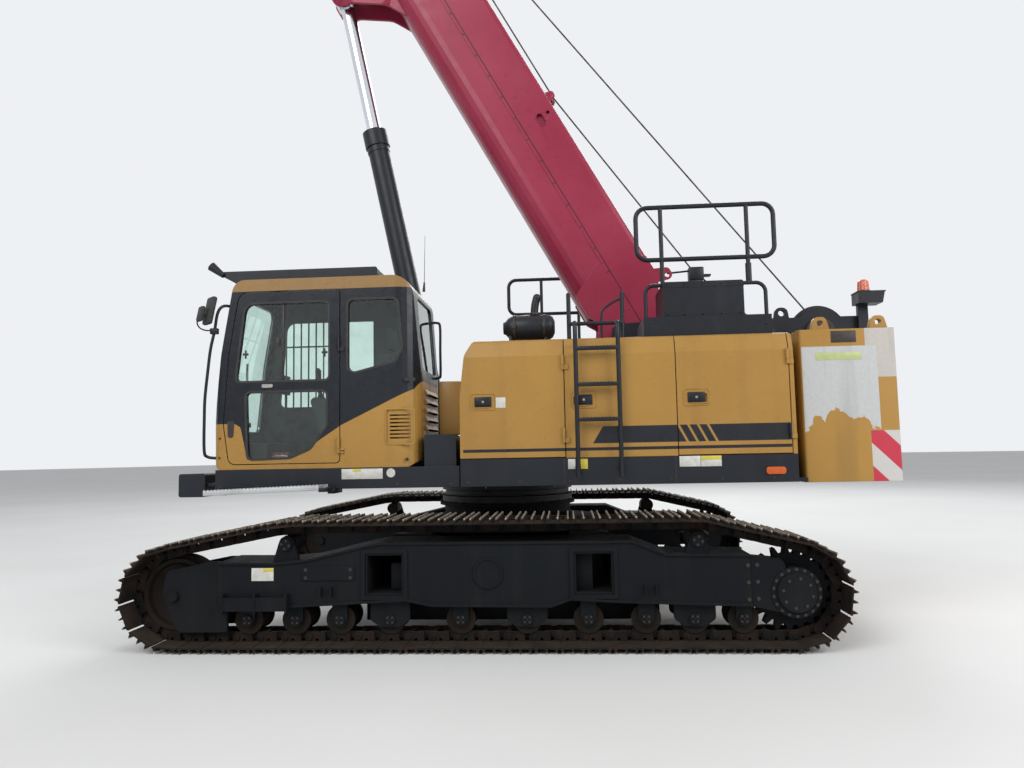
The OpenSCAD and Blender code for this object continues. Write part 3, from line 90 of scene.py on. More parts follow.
class Finish:
    """A material, with short ways to add nodes that read the piece's own place."""

    def __init__(self, name):
        self.material = bpy.data.materials.new(name)
        self.material.use_nodes = True
        self.tree = self.material.node_tree
        self.shader = self.tree.nodes["Principled BSDF"]
        self.place = self.add("ShaderNodeTexCoord", {})["Object"]

    def add(self, kind, inputs, **settings):
        made = self.tree.nodes.new(kind)
        for name, value in settings.items():
            setattr(made, name, value)
        for name, value in inputs.items():
            if isinstance(value, bpy.types.NodeSocket):
                self.tree.links.new(value, made.inputs[name])
            else:
                made.inputs[name].default_value = value
        return made.outputs

    def noise(self, scale, detail=4.0, rough=0.55, stretch=(1, 1, 1), shift=(0, 0, 0)):
        moved = self.add("ShaderNodeMapping", {"Vector": self.place, "Scale": stretch, "Location": shift})
        return self.add("ShaderNodeTexNoise", {"Vector": moved[0], "Scale": scale, "Detail": detail,
                                               "Roughness": rough})["Fac"]

    def ramp(self, value, low, high, to_low=0.0, to_high=1.0):
        return self.add("ShaderNodeMapRange", {"Value": value, "From Min": low, "From Max": high,
                                               "To Min": to_low, "To Max": to_high})[0]

    def math(self, operation, a, b=0.0):
        return self.add("ShaderNodeMath", {0: a, 1: b}, operation=operation)[0]

    def both(self, *masks):
        """Mask that is 1 where all the masks are."""
        shared = masks[0]
        for mask in masks[1:]:
            shared = self.math("MULTIPLY", shared, mask)
        return shared

    def between(self, value, low, high, soft=0.0015):
        """Mask that is 1 from low to high, with soft borders."""
        return self.both(self.ramp(value, low - soft, low + soft), self.ramp(value, high + soft, high - soft))

    def mix(self, share, a, b):
        return self.add("ShaderNodeMix", {0: share, 6: a, 7: b}, data_type="RGBA")[2]

    def axes(self):
        return self.add("ShaderNodeSeparateXYZ", {"Vector": self.place})

    def facing(self):
        return self.add("ShaderNodeSeparateXYZ", {"Vector": self.add("ShaderNodeNewGeometry", {})["Normal"]})

    def edges(self, radius):
        """Rounded normal, and a mask that is 1 on the edges."""
        soft = self.add("ShaderNodeBevel", {"Radius": radius}, samples=4)[0]
        hard = self.add("ShaderNodeNewGeometry", {})["Normal"]
        along = self.add("ShaderNodeVectorMath", {0: soft, 1: hard}, operation="DOT_PRODUCT")["Value"]
        return soft, self.ramp(along, 0.995, 0.90)

    def bump(self, height, strength, distance, normal=None):
        inputs = {"Height": height, "Strength": strength, "Distance": distance}
        if normal is not None:
            inputs["Normal"] = normal
        return self.add("ShaderNodeBump", inputs)[0]

    def set(self, **sockets):
        names = {"colour": "Base Color", "roughness": "Roughness", "metallic": "Metallic", "normal": "Normal",
                 "coat": "Coat Weight", "transmission": "Transmission Weight", "ior": "IOR",
                 "specular": "Specular IOR Level"}
        for name, value in sockets.items():
            if isinstance(value, bpy.types.NodeSocket):
                self.tree.links.new(value, self.shader.inputs[names[name]])
            else:
                self.shader.inputs[names[name]].default_value = value
        return self


yard = Finish("yard_concrete")
yard_patches = yard.ramp(yard.noise(0.25, 6), 0.3, 0.7)
yard.set(colour=yard.mix(yard_patches, (0.70, 0.70, 0.69, 1), (0.76, 0.76, 0.755, 1)), roughness=0.85,
         normal=yard.bump(yard.noise(60, 3), 0.15, 0.002))
floor_mesh = bmesh.new()
bmesh.ops.create_circle(floor_mesh, cap_ends=True, segments=96, radius=120)
add_piece("yard", floor_mesh, yard, None)

world = bpy.data.worlds.new("pale_surround")
bpy.context.scene.world = world
world.use_nodes = True
sky = world.node_tree.nodes["Background"]
rays = world.node_tree.nodes.new("ShaderNodeLightPath")
seen = rays.outputs["Is Camera Ray"]
for ray in ("Is Glossy Ray", "Is Transmission Ray"):
    either = world.node_tree.nodes.new("ShaderNodeMath")
    either.operation = "MAXIMUM"
    world.node_tree.links.new(seen, either.inputs[0])
    world.node_tree.links.new(rays.outputs[ray], either.inputs[1])
    seen = either.outputs[0]
sky_level = world.node_tree.nodes.new("ShaderNodeMapRange")
sky_level.inputs["To Min"].default_value = 0.50
sky_level.inputs["To Max"].default_value = 0.92
world.node_tree.links.new(seen, sky_level.inputs["Value"])
world.node_tree.links.new(sky_level.outputs[0], sky.inputs["Strength"])
sky.inputs["Color"].default_value = (0.93, 0.95, 0.98, 1)

# Columns: place, aim, size in metres, power in watts
lamps = [
    [(9, 16, 14), (0, 1, 1.5), 12, 2300],
    [(-13, 10, 9), (-1, 0, 2), 9, 1500],
    [(-4, -16, 15), (0, 0, 3), 12, 1900],
]
for place, aim, size, power in lamps:
    lamp = bpy.data.lights.new("soft_lamp", "AREA")
    lamp.size = size
    lamp.energy = power
    lamp_object = bpy.data.objects.new("soft_lamp", lamp)
    lamp_object.location = place
    lamp_object.rotation_euler = (Vector(aim) - Vector(place)).to_track_quat("-Z", "Y").to_euler()
    bpy.context.scene.collection.objects.link(lamp_object)

# Undercarriage steel: side frames, car body and cross beams are welded plate under black chassis
# paint that has gone dull, with yard dust on every ledge and rust where the paint has chipped. Its
# black is painted darker than such paint: painted shade for the upper body's shadow on the undercarriage.
def wear_paint(name, colour, faded, gloss=0.38, dust=0.5, chips=0.5, dirt_top=0.0, pattern=None, streak=0.30,
               shine=0.3):
    """Old machine paint: sun-faded patches, rain streaks, dust on ledges, chipped edges, orange peel."""
    paint = Finish(name)
    place = paint.axes()
    base = paint.mix(paint.ramp(paint.noise(0.9, 5), 0.35, 0.68), colour, faded)
    if pattern:
        base = pattern(paint, base, place)
    streaks = paint.noise(7, 5, stretch=(1, 1, 0.06))
    base = paint.mix(paint.ramp(streaks, 0.52, 0.78, 0.0, streak), base, (0.05, 0.042, 0.034, 1))
    soft, edge = paint.edges(0.006)
    ledge = paint.ramp(paint.facing()[2], 0.55, 0.95)
    settled = paint.math("MULTIPLY", ledge, paint.ramp(paint.noise(5, 6), 0.25, 0.65, 0.35, 1.0))
    splash = paint.ramp(paint.math("ADD", place[2], paint.ramp(paint.noise(3, 5), 0, 1, -0.35, 0.35)),
                        dirt_top, dirt_top - 0.75)
    dusty = paint.both(paint.math("MAXIMUM", settled, splash), dust)
    base = paint.mix(dusty, base, (0.17, 0.14, 0.105, 1))
    worn = paint.math("MULTIPLY", edge, paint.ramp(paint.noise(22, 4), 0.50, 0.62, 0.0, chips))
    specks = paint.ramp(paint.noise(38, 3, shift=(3, 1, 7)), 0.735, 0.76, 0.0, chips)
    bare = paint.math("MAXIMUM", worn, specks)
    base = paint.mix(bare, base, (0.10, 0.06, 0.038, 1))
    rough = paint.ramp(paint.noise(12, 4), 0.2, 0.8, gloss - 0.07, gloss + 0.12)
    rough = paint.math("MAXIMUM", rough, paint.both(paint.math("MAXIMUM", dusty, bare), 0.85))
    peel = paint.math("SUBTRACT", paint.both(paint.noise(160, 2), 0.25), bare)
    return paint.set(colour=base, roughness=rough, normal=paint.bump(peel, 0.12, 0.0015, soft),
                     specular=shine)


def plain_finish(name, colour, second, rough=0.5, metallic=0.0, grain=30, depth=0.0008, coat=0.0):
    """Two close shades in small patches, uneven gloss and a fine grain."""
    finish = Finish(name)
    share = finish.ramp(finish.noise(grain, 5), 0.35, 0.68)
    uneven = finish.ramp(finish.noise(grain * 0.4, 4, shift=(5, 2, 9)), 0.3, 0.7, rough - 0.06, rough + 0.10)
    return finish.set(colour=finish.mix(share, colour, second), roughness=uneven, metallic=metallic, coat=coat,
                      normal=finish.bump(finish.noise(grain * 8, 3), 0.2, depth))


def finish_nodes(finish, *nodes):
    for node in nodes:
        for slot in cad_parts[node].material_slots:
            slot.material = finish.material


def box_into(shape, low, high, soft=0.0):
    """Block between two corners, its edges broken by soft."""
    low, high = Vector(low), Vector(high)
    grow = Matrix.Diagonal((*(high - low), 1))
    verts = bmesh.ops.create_cube(shape, size=1, matrix=Matrix.Translation((low + high) / 2) @ grow)["verts"]
    if soft:
        edges = list({edge for vert in verts for edge in vert.link_edges})
        bmesh.ops.bevel(shape, geom=edges, offset=soft, offset_type="OFFSET", segments=2, profile=0.5,
                        affect="EDGES", material=-1)


def bar_into(shape, start, end, radius, sides=16, end_radius=None):
    """Round bar between two points; with six sides it is a bolt's head."""
    start, end = Vector(start), Vector(end)
    aim = (end - start).to_track_quat("Z", "Y").to_matrix().to_4x4()
    bmesh.ops.create_cone(shape, cap_ends=True, segments=sides, radius1=radius,
                          radius2=radius if end_radius is None else end_radius, depth=(end - start).length,
                          matrix=Matrix.Translation((start + end) / 2) @ aim)


def push_face(shape, face, step):
    """Extrudes a face by a step."""
    grown = bmesh.ops.extrude_face_region(shape, geom=[face])["geom"]
    moved = [item for item in grown if isinstance(item, bmesh.types.BMVert)]
    bmesh.ops.translate(shape, verts=moved, vec=step)


def plate_into(shape, outline, y0, y1):
    """Plate that stands along X, its outline in X and Z, from y0 to y1."""
    face = shape.faces.new([shape.verts.new((x, y0, z)) for x, z in outline])
    push_face(shape, face, (0, y1 - y0, 0))


def bolt_into(shape, place, out, size):
    """Washer and hex head, size across its corners' radius, standing on a face at place."""
    place, out = Vector(place), Vector(out).normalized()
    bar_into(shape, place - out * 0.001, place + out * size * 0.25, size * 1.5, 12)
    bar_into(shape, place, place + out * size * 0.95, size, 6)


def ring_of(count, radius, start=0.0):
    """Evenly spaced pairs on a circle."""
    turns = [start + 2 * math.pi * step / count for step in range(count)]
    return [(radius * math.cos(turn), radius * math.sin(turn)) for turn in turns]


def evenly(start, step, count):
    """Places in a row."""
    return [start + step * index for index in range(count)]


def add_pair(name, maker, finish, bodies=("upper", "upper")):
    """Piece on the left of the machine and its mirror image on the right."""
    for side, word, body in ((1, "left", bodies[0]), (-1, "right", bodies[1])):
        shape = bmesh.new()
        maker(shape)
        bmesh.ops.scale(shape, verts=shape.verts, vec=(1, side, 1))
        add_piece(name + "_" + word, shape, finish, body)


crawlers = ("left_crawler", "right_crawler")
drive_x, idler_x, axle_height = -2.22, 2.41, 0.402
carrier_x, carrier_height = 1.54, 0.777
track_middle, frame_face, roller_face = 1.75, 1.950, 1.909
# Black paint made darker still as painted shade for the shadow under the upper body.
chassis_black_and_shade = wear_paint("chassis_black_and_shade", (0.0038, 0.0050, 0.0068, 1), (0.0068, 0.0084, 0.0104, 1),
                           gloss=0.60, dust=0.05, chips=0.12, dirt_top=0.40, streak=0.08, shine=0.12)
finish_nodes(chassis_black_and_shade, "side_frame_left", "side_frame_right", "carbody", "cross_beams_left",
             "cross_beams_right", "drive_left", "drive_right")
# Rust over near-black steel; the near-black is painted shade for the shadow under the side frames.
roller_rust_and_shade = wear_paint("roller_rust_and_shade", (0.007, 0.006, 0.0055, 1), (0.018, 0.011, 0.008, 1), gloss=0.65, dust=0.06,
                         chips=0.3, dirt_top=0.5, streak=0.10, shine=0.12)
finish_nodes(roller_rust_and_shade, "rollers_left", "rollers_right", "idler_left", "idler_right")
dark_bolt = plain_finish("dark_bolt", (0.018, 0.017, 0.017, 1), (0.05, 0.036, 0.026, 1), 0.5, 0.3, 60)
bright_bolt = plain_finish("bright_bolt", (0.42, 0.41, 0.38, 1), (0.25, 0.23, 0.20, 1), 0.34, 0.9, 80)

# Columns: place along the machine, height, face in y, bolt circle, number of bolts, bolt size
frame_bolt_rings = [
    [drive_x, axle_height, 1.936, 0.163, 18, 0.0095],
    [drive_x, axle_height, 1.970, 0.105, 8, 0.0080],
    [carrier_x, carrier_height, 1.931, 0.030, 4, 0.0070],
    [-carrier_x, carrier_height, 1.931, 0.030, 4, 0.0070],
]
roller_places = [1.84, 1.47, 1.13, 0.745, 0.215, -0.28, -0.73, -1.15, -1.5, -1.85]
roller_height = 0.2143


def frame_bolts(shape):
    for x, z, y, radius, count, size in frame_bolt_rings:
        for along, rise in ring_of(count, radius, 0.2):
            bolt_into(shape, (x + along, y, z + rise), (0, 1, 0), size)
    for x in roller_places:
        for along, rise in ring_of(4, 0.025, math.pi / 4):
            bolt_into(shape, (x + along, roller_face, roller_height + rise), (0, 1, 0), 0.0065)
    for x in (1.03, 1.37):
        for z in (0.535, 0.595):
            bolt_into(shape, (x, frame_face + 0.010, z), (0, 1, 0), 0.009)
    for x, y in ((-1.95, frame_face - 0.020), (-1.88, frame_face)):
        for z in (0.36, 0.48, 0.60):
            bolt_into(shape, (x, y, z), (0, 1, 0), 0.010)


add_pair("frame_bolts", frame_bolts, dark_bolt, crawlers)


def roller_rims(shape):
    """Flanges outside the rails and the oil plug of every bottom roller."""
    for x in roller_places:
        for y in (track_middle - 0.117, track_middle + 0.109):
            bar_into(shape, (x, y, roller_height), (x, y + 0.008, roller_height), 0.110, 32)
        bar_into(shape, (x, roller_face, roller_height), (x, roller_face + 0.009, roller_height), 0.012, 8)


add_pair("roller_rims", roller_rims, roller_rust_and_shade, crawlers)


def frame_beads(shape):
    """Weld beads along the side frame's upper flange and round its boss, and the idler's axle caps."""
    bead_y = frame_face + 0.001
    ridge = [(-1.90, 0.662), (-1.30, 0.672), (-1.06, 0.767), (0.81, 0.772), (0.93, 0.752), (1.37, 0.652),
             (1.60, 0.632), (2.00, 0.636)]
    for (x0, z0), (x1, z1) in zip(ridge, ridge[1:]):
        runs = max(1, round((x1 - x0) / 0.09))
        for run in range(runs):
            a, b = run / runs, (run + 0.92) / runs
            bar_into(shape, (x0 + (x1 - x0) * a, bead_y, z0 + (z1 - z0) * a),
                     (x0 + (x1 - x0) * b, bead_y, z0 + (z1 - z0) * b), 0.006, 6)
    for y, step in ((track_middle + 0.17, 0.030), (track_middle - 0.17, -0.030)):
        bar_into(shape, (idler_x, y, axle_height), (idler_x, y + step, axle_height), 0.048, 24, 0.040)
    around = ring_of(28, 0.112)
    for (x0, z0), (x1, z1) in zip(around, around[1:] + around[:1]):
        bar_into(shape, (x0, bead_y, 0.560 + z0), (x1, bead_y, 0.560 + z1), 0.005, 6)


add_pair("frame_beads", frame_beads, chassis_black_and_shade, crawlers)


def frame_plates(shape):
    """Guard plate inside the bottom rollers, and the stops and cover plates inside the beams' ends."""
    box_into(shape, (-1.28, 1.585, 0.150), (1.00, 1.600, 0.345), 0.003)
    box_into(shape, (0.655, 1.760, 0.420), (0.760, 1.800, 0.620), 0.006)
    box_into(shape, (-0.770, 1.830, 0.405), (-0.632, 1.845, 0.705), 0.004)


add_pair("frame_plates", frame_plates, chassis_black_and_shade, crawlers)

# Blank plates: thin printed films without any print, white with a yellow part, rolled on flat
# and a little dirty. One stands on the side frame, the others on the sills and beside a latch.
plate_white = plain_finish("plate_white", (0.62, 0.62, 0.58, 1), (0.48, 0.47, 0.43, 1), 0.42, 0.0, 18)
plate_yellow = plain_finish("plate_yellow", (0.62, 0.52, 0.05, 1), (0.50, 0.41, 0.06, 1), 0.42, 0.0, 18)
plate_green = plain_finish("plate_green", (0.42, 0.47, 0.20, 1), (0.36, 0.40, 0.17, 1), 0.42, 0.0, 18)
cab_face, hood_face, weight_face = 1.470, 1.490, 1.400
# Columns: name, finish, body, low x, high x, low z, high z, y of the film's back
films = [
    ["frame_plate_white", plate_white, "left_crawler", 1.62, 1.79, 0.515, 0.610, frame_face],
    ["frame_plate_yellow", plate_yellow, "left_crawler", 1.62, 1.700, 0.583, 0.609, frame_face + 0.001],
    ["cab_sill_plate_white", plate_white, "upper", 0.902, 1.243, 1.247, 1.330, cab_face],
    ["cab_sill_plate_yellow", plate_yellow, "upper", 1.082, 1.152, 1.307, 1.329, cab_face + 0.001],
    ["sill_plate_white", plate_white, "upper", -0.667, -0.609, 1.299, 1.379, hood_face],
    ["sill_plate_yellow", plate_yellow, "upper", -0.766, -0.704, 1.299, 1.378, hood_face],
    ["door_sill_plate_front", plate_white, "upper", -1.654, -1.490, 1.303, 1.386, hood_face],
    ["door_sill_plate_rear", plate_white, "upper", -1.818, -1.658, 1.302, 1.385, hood_face],
    ["door_sill_plate_yellow", plate_yellow, "upper", -1.817, -1.659, 1.354, 1.384, hood_face + 0.001],
    ["latch_plate_white", plate_white, "hood_door_front", -0.115, -0.033, 1.802, 1.886, hood_face],
    ["weight_plate_dark", dark_bolt, "upper", -2.935, -2.738, 2.269, 2.364, weight_face],
    ["weight_plate_green", plate_green, "upper", -2.970, -2.611, 2.129, 2.190, weight_face],
]
for name, finish, body, x0, x1, z0, z1, y in films:
    film = bmesh.new()
    box_into(film, (x0, y - 0.0005, z0), (x1, y + 0.0015, z1), 0.0006)
    add_piece(name, film, finish, body)
round_film = bmesh.new()
bar_into(round_film, (0.834, cab_face - 0.0005, 1.293), (0.834, cab_face + 0.0015, 1.293), 0.036, 32)
add_piece("cab_sill_plate_round", round_film, plate_white, "upper")

# Track chains: cast shoes with three grousers on forged links, whose plates have windows for the
# shoe bolts and overlap at pin and bushing. The loop is the pitch line round sprocket, idler and
# the two carrier rollers.
# Columns: axle x, axle z, radius of the pitch line
track_wheels = [(drive_x, axle_height, 0.322), (idler_x, axle_height, 0.322),
                (carrier_x, carrier_height, 0.113), (-carrier_x, carrier_height, 0.113)]
aimed_pitch, shoe_width = 0.190, 0.600


def track_pins():
    """Places of the pins along the loop in X and Z, and the exact pitch."""
    count = len(track_wheels)
    normals, runs = [], []
    for index, (x, z, radius) in enumerate(track_wheels):
        next_x, next_z, next_radius = track_wheels[(index + 1) % count]
        reach = math.hypot(next_x - x, next_z - z)
        normals.append(math.atan2(next_z - z, next_x - x) - math.acos((radius - next_radius) / reach))
        runs.append(math.sqrt(reach ** 2 - (radius - next_radius) ** 2))
    wraps = [(normals[index] - normals[index - 1]) % (2 * math.pi) for index in range(count)]
    spans = [wraps[index] * track_wheels[index][2] + runs[index] for index in range(count)]
    links = round(sum(spans) / aimed_pitch)
    pitch = sum(spans) / links
    pins = []
    for link in range(links):
        rest = link * pitch
        index = 0
        while rest >= spans[index]:
            rest -= spans[index]
            index += 1
        x, z, radius = track_wheels[index]
        wrapped = min(rest, wraps[index] * radius)
        angle = normals[index - 1] + wrapped / radius
        past = rest - wrapped
        pins.append(Vector((x + radius * math.cos(angle) - past * math.sin(angle), 0,
                            z + radius * math.sin(angle) + past * math.cos(angle))))
    return pins, pitch


pins, link_pitch = track_pins()
# Columns: distance along the shoe as a share of the pitch, height above the pitch line in metres
shoe_profile = [(0.02, 0.032), (-0.025, 0.030), (-0.030, 0.038), (0.03, 0.046), (0.065, 0.048), (0.095, 0.078),
                (0.145, 0.079), (0.185, 0.046), (0.45, 0.044), (0.475, 0.078), (0.525, 0.078), (0.555, 0.044),
                (0.835, 0.044), (0.865, 0.078), (0.915, 0.079), (0.95, 0.048), (1.005, 0.047), (1.005, 0.037),
                (0.96, 0.032)]


def shoe_mesh():
    shoe = bmesh.new()
    plate_into(shoe, [(share * link_pitch, height) for share, height in shoe_profile],
               track_middle - shoe_width / 2, track_middle + shoe_width / 2)
    wear = shoe.verts.layers.float.new("wear")
    for vert in shoe.verts:
        vert[wear] = 1.0 if vert.co.z > 0.07 else 0.0
    for share in (0.32, 0.69):
        for y in (track_middle - 0.085, track_middle + 0.085):
            bar_into(shoe, (share * link_pitch, y, 0.043), (share * link_pitch, y, 0.058), 0.016, 6)
    return shoe


def link_mesh():
    """One link: two plates round its bushing that reach back over the next link's pin."""
    link = bmesh.new()
    back, front, top, sill, bottom = 0.62 * link_pitch, 0.38 * link_pitch, 0.031, 0.011, -0.037

    def window(low, high):
        low, high = low * link_pitch, high * link_pitch
        return [(high, top), (high, sill), (low, sill), (low, top)]

    inner = [(back, top), *window(0.23, 0.35), (-0.020, top), (-0.037, 0.013), (-0.037, -0.017), (-0.020, bottom),
             (back, bottom)]
    outer = [(front, bottom), (link_pitch + 0.020, bottom), (link_pitch + 0.037, -0.017),
             (link_pitch + 0.037, 0.013), (link_pitch + 0.020, top), *window(0.65, 0.77), (front, top)]
    for side in (-1, 1):
        plate_into(link, inner, track_middle + side * 0.064, track_middle + side * 0.085)
        plate_into(link, outer, track_middle + side * 0.0855, track_middle + side * 0.1065)
    for half_length, radius in ((0.114, 0.020), (0.064, 0.030)):
        bar_into(link, (0, track_middle - half_length, 0), (0, track_middle + half_length, 0), radius, 12)
    return link


def chain_of(shape, one):
    """Copies of one shoe or link from each pin to the next."""
    mould = bpy.data.meshes.new("mould")
    made = one()
    made.to_mesh(mould)
    made.free()
    for pin, following in zip(pins, pins[1:] + pins[:1]):
        ahead_x, ahead_z = (following - pin).normalized().xz
        place = Matrix(((ahead_x, 0, ahead_z, pin.x), (0, 1, 0, 0), (ahead_z, 0, -ahead_x, pin.z), (0, 0, 0, 1)))
        before = len(shape.verts)
        shape.from_mesh(mould)
        shape.verts.ensure_lookup_table()
        bmesh.ops.transform(shape, matrix=place, verts=shape.verts[before:])
    bpy.data.meshes.remove(mould)


def track_finish(name, colour, rust, worn):
    """Dusty brown steel with rust patches; worn edges are bare and bright."""
    steel = Finish(name)
    place = steel.axes()
    base = steel.mix(steel.ramp(steel.noise(9, 6), 0.42, 0.62), colour, rust)
    settled = steel.math("MULTIPLY", steel.ramp(steel.facing()[2], 0.3, 0.9),
                         steel.ramp(steel.noise(6, 5), 0.3, 0.7, 0.25, 0.85))
    base = steel.mix(settled, base, (0.055, 0.040, 0.028, 1))
    low = steel.ramp(place[2], 0.16, 0.02, 0.0, 0.30)
    base = steel.mix(low, base, (0.018, 0.014, 0.011, 1))
    mark = steel.add("ShaderNodeAttribute", {}, attribute_name="wear")["Fac"]
    bare = steel.both(steel.ramp(mark, 0.55, 0.95), steel.ramp(steel.noise(26, 4), 0.38, 0.58, 0.15, worn))
    soft, _ = steel.edges(0.004)
    pits = steel.math("SUBTRACT", steel.noise(70, 4), bare)
    return steel.set(colour=steel.mix(bare, base, (0.50, 0.43, 0.34, 1)), metallic=steel.math("MULTIPLY", bare, 0.4),
                     roughness=steel.ramp(bare, 0, 1, 0.82, 0.42), normal=steel.bump(pits, 0.35, 0.002, soft),
                     specular=0.2)


shoe_steel = track_finish("shoe_steel", (0.0060, 0.0052, 0.0048, 1), (0.020, 0.011, 0.0075, 1), 0.95)
link_steel = track_finish("link_steel", (0.0055, 0.0048, 0.0044, 1), (0.018, 0.0100, 0.0070, 1), 0.3)
for side, word in ((1, "left"), (-1, "right")):
    for part, one, finish in (("shoes", shoe_mesh, shoe_steel), ("links", link_mesh, link_steel)):
        chain = bmesh.new()
        chain_of(chain, one)
        bmesh.ops.scale(chain, verts=chain.verts, vec=(1, side, 1))
        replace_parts(add_piece("track_" + part + "_" + word, chain, finish, word + "_crawler"), "track_" + word)

# Travel drive hoses: rubber hoses run from the swivel under the slewing ring to a bulkhead on the
# car body's face and, on each crawler, from the side frame's inner wall into the drive's motor.
def bent_path(points, steps=10):
    """Smooth line through the points (each stretch a cubic that leaves along its neighbours)."""
    points = [Vector(point) for point in points]
    ends = [points[0] * 2 - points[1], *points, points[-1] * 2 - points[-2]]
    path = []
    for p, q, r, s in zip(ends, ends[1:], ends[2:], ends[3:]):
        for step in range(steps):
            t = step / steps
            path.append(0.5 * (2 * q + (r - p) * t + (2 * p - 5 * q + 4 * r - s) * t ** 2
                               + (3 * q - p - 3 * r + s) * t ** 3))
    return path + [points[-1]]


def loft_into(shape, loops, closed=False):
    """Skin over loops of points, one to the next; open ends are capped."""
    rings = [[shape.verts.new(point) for point in loop] for loop in loops]
    for ring, after in zip(rings, rings[1:] + (rings[:1] if closed else [])):
        for corner in zip(ring, ring[1:] + ring[:1], after[1:] + after[:1], after):
            shape.faces.new(corner)
    if not closed:
        shape.faces.new(rings[0])
        shape.faces.new(rings[-1])


def sweep_into(shape, path, radius, sides=10, closed=False):
    """Round tube along the places of a path, which may close on itself."""
    across = None
    loops = []
    for index, place in enumerate(path):
        before = path[index - 1] if closed or index else place
        after = path[(index + 1) % len(path)] if closed or index + 1 < len(path) else place
        ahead = (after - before).normalized()
        across = (ahead.orthogonal() if across is None else across - ahead * across.dot(ahead)).normalized()
        other = ahead.cross(across)
        loops.append([place + across * a + other * b for a, b in ring_of(sides, radius)])
    loft_into(shape, loops, closed)


def hose_into(shape, points, radius, sides=10, steps=10):
    """Round hose along a smooth line through the points."""
    sweep_into(shape, bent_path(points, steps), radius, sides)


rubber = plain_finish("rubber", (0.010, 0.010, 0.010, 1), (0.020, 0.019, 0.018, 1), 0.62, 0.0, 40)


def drive_hoses(shape):
    for y, rise in ((1.535, 0.05), (1.565, -0.05)):
        hose_into(shape, [(-1.86, 1.575, 0.50 + rise), (-1.90, 1.51, 0.52 + rise), (-2.05, y - 0.04, 0.50 + rise),
                          (-2.16, y - 0.045, 0.44 + rise)], 0.014)
        bar_into(shape, (-2.16, y - 0.045, 0.44 + rise), (-2.22, 1.515, 0.41 + rise * 0.6), 0.019, 6)


add_pair("drive_hoses", drive_hoses, rubber, crawlers)


def swivel_hoses(shape):
    for index, x in enumerate((-0.15, -0.05, 0.05, 0.15)):
        hose_into(shape, [(x, 0.565, 0.60 + 0.02 * index), (x * 1.2, 0.63, 0.58), (x * 2.2, 0.68, 0.50),
                          (x * 3.0, 0.64, 0.45), (x * 3.2, 0.56, 0.44)], 0.013)
        bar_into(shape, (x, 0.555, 0.60 + 0.02 * index), (x, 0.59, 0.60 + 0.02 * index), 0.021, 6)
        bar_into(shape, (x * 3.2, 0.555, 0.44), (x * 3.2, 0.585, 0.44), 0.021, 6)


add_pair("swivel_hoses", swivel_hoses, rubber, ("root", "root"))

# Slewing ring: turned steel race with greased faces, a ring of bolts on the car body's flange and
# another under the revolving frame; the grease nipples stand between them.
ring_steel = wear_paint("ring_steel", (0.010, 0.010, 0.010, 1), (0.020, 0.018, 0.016, 1), gloss=0.45, dust=0.25,
                        chips=0.4, dirt_top=0.5)
finish_nodes(ring_steel, "slew_ring")
ring_bolts = bmesh.new()
for x, y in ring_of(40, 0.652):
    bolt_into(ring_bolts, (x, y, 0.975), (0, 0, 1), 0.0075)
add_piece("slew_ring_bolts", ring_bolts, dark_bolt, "root")
race_bolts = bmesh.new()
for x, y in ring_of(40, 0.658, 0.05):
    bolt_into(race_bolts, (x, y, 1.170), (0, 0, -1), 0.008)
for x, y in ring_of(6, 0.642, 0.3):
    bar_into(race_bolts, (x, y, 1.12), (x * 1.03, y * 1.03, 1.12), 0.006, 8)
add_piece("slew_race_bolts", race_bolts, bright_bolt, "upper")

# Deck and webs: black machine paint on the revolving frame, sills and ladders; the boom's foot pin
# and the cylinder's foot pin are held by keeper plates with two bolts each outside the webs.
deck_black = wear_paint("deck_black", (0.0060, 0.0075, 0.0110, 1), (0.0100, 0.0125, 0.0175, 1), gloss=0.36,
                        dust=0.14, chips=0.2, streak=0.12)
finish_nodes(deck_black, "revolving_frame", "roof_guard", "top_box", "beacon_post", "luff_barrel")


def sill_colours(paint, base, place):
    """Orange lenses of the marker lamps, which stand proud of the sills."""
    lamp = paint.both(paint.ramp(paint.math("ABSOLUTE", place[1]), hood_face + 0.0005, hood_face + 0.0010),
                      paint.ramp(place[0], -2.10, -2.11))
    return paint.mix(lamp, base, (0.55, 0.10, 0.012, 1))


sill_black = wear_paint("sill_black", (0.0075, 0.0095, 0.0145, 1), (0.0120, 0.0150, 0.0215, 1), gloss=0.36,
                        dust=0.14, chips=0.2, pattern=sill_colours, streak=0.15)
finish_nodes(sill_black, "side_sills")
boom_pin, cylinder_pin, boom_angle = (-0.95, 2.15), (0.64, 1.50), math.radians(61)


def pin_keepers(shape):
    for (x, z), y in ((boom_pin, 0.400), (cylinder_pin, 0.185)):
        box_into(shape, (x - 0.085, y, z - 0.022), (x + 0.085, y + 0.010, z + 0.022), 0.003)
        for step in (-0.065, 0.065):
            bolt_into(shape, (x + step, y + 0.010, z), (0, 1, 0), 0.010)


add_pair("pin_keepers", pin_keepers, dark_bolt)
web_cover = bmesh.new()
plate_into(web_cover, [(-1.400, 2.300), (-1.040, 2.300), (-1.060, 2.600), (-1.150, 2.640), (-1.400, 2.650)],
           0.388, 0.400)
add_piece("web_cover", web_cover, deck_black, "upper")


def sill_bolts(shape):
    """Bolts along both sills, and the joints between the lengths of the hood's sill."""
    for x in (0.20, -0.22, -0.62, -1.02, -1.42, -1.82, -2.22):
        bolt_into(shape, (x, hood_face, 1.205), (0, 1, 0), 0.0075)
    for x in (0.34, 0.78, 1.35, 1.95, 2.26):
        bolt_into(shape, (x, cab_face, 1.200), (0, 1, 0), 0.0075)
    for x in (-0.58, -1.46):
        box_into(shape, (x - 0.004, hood_face - 0.001, 1.175), (x + 0.004, hood_face + 0.002, 1.385))


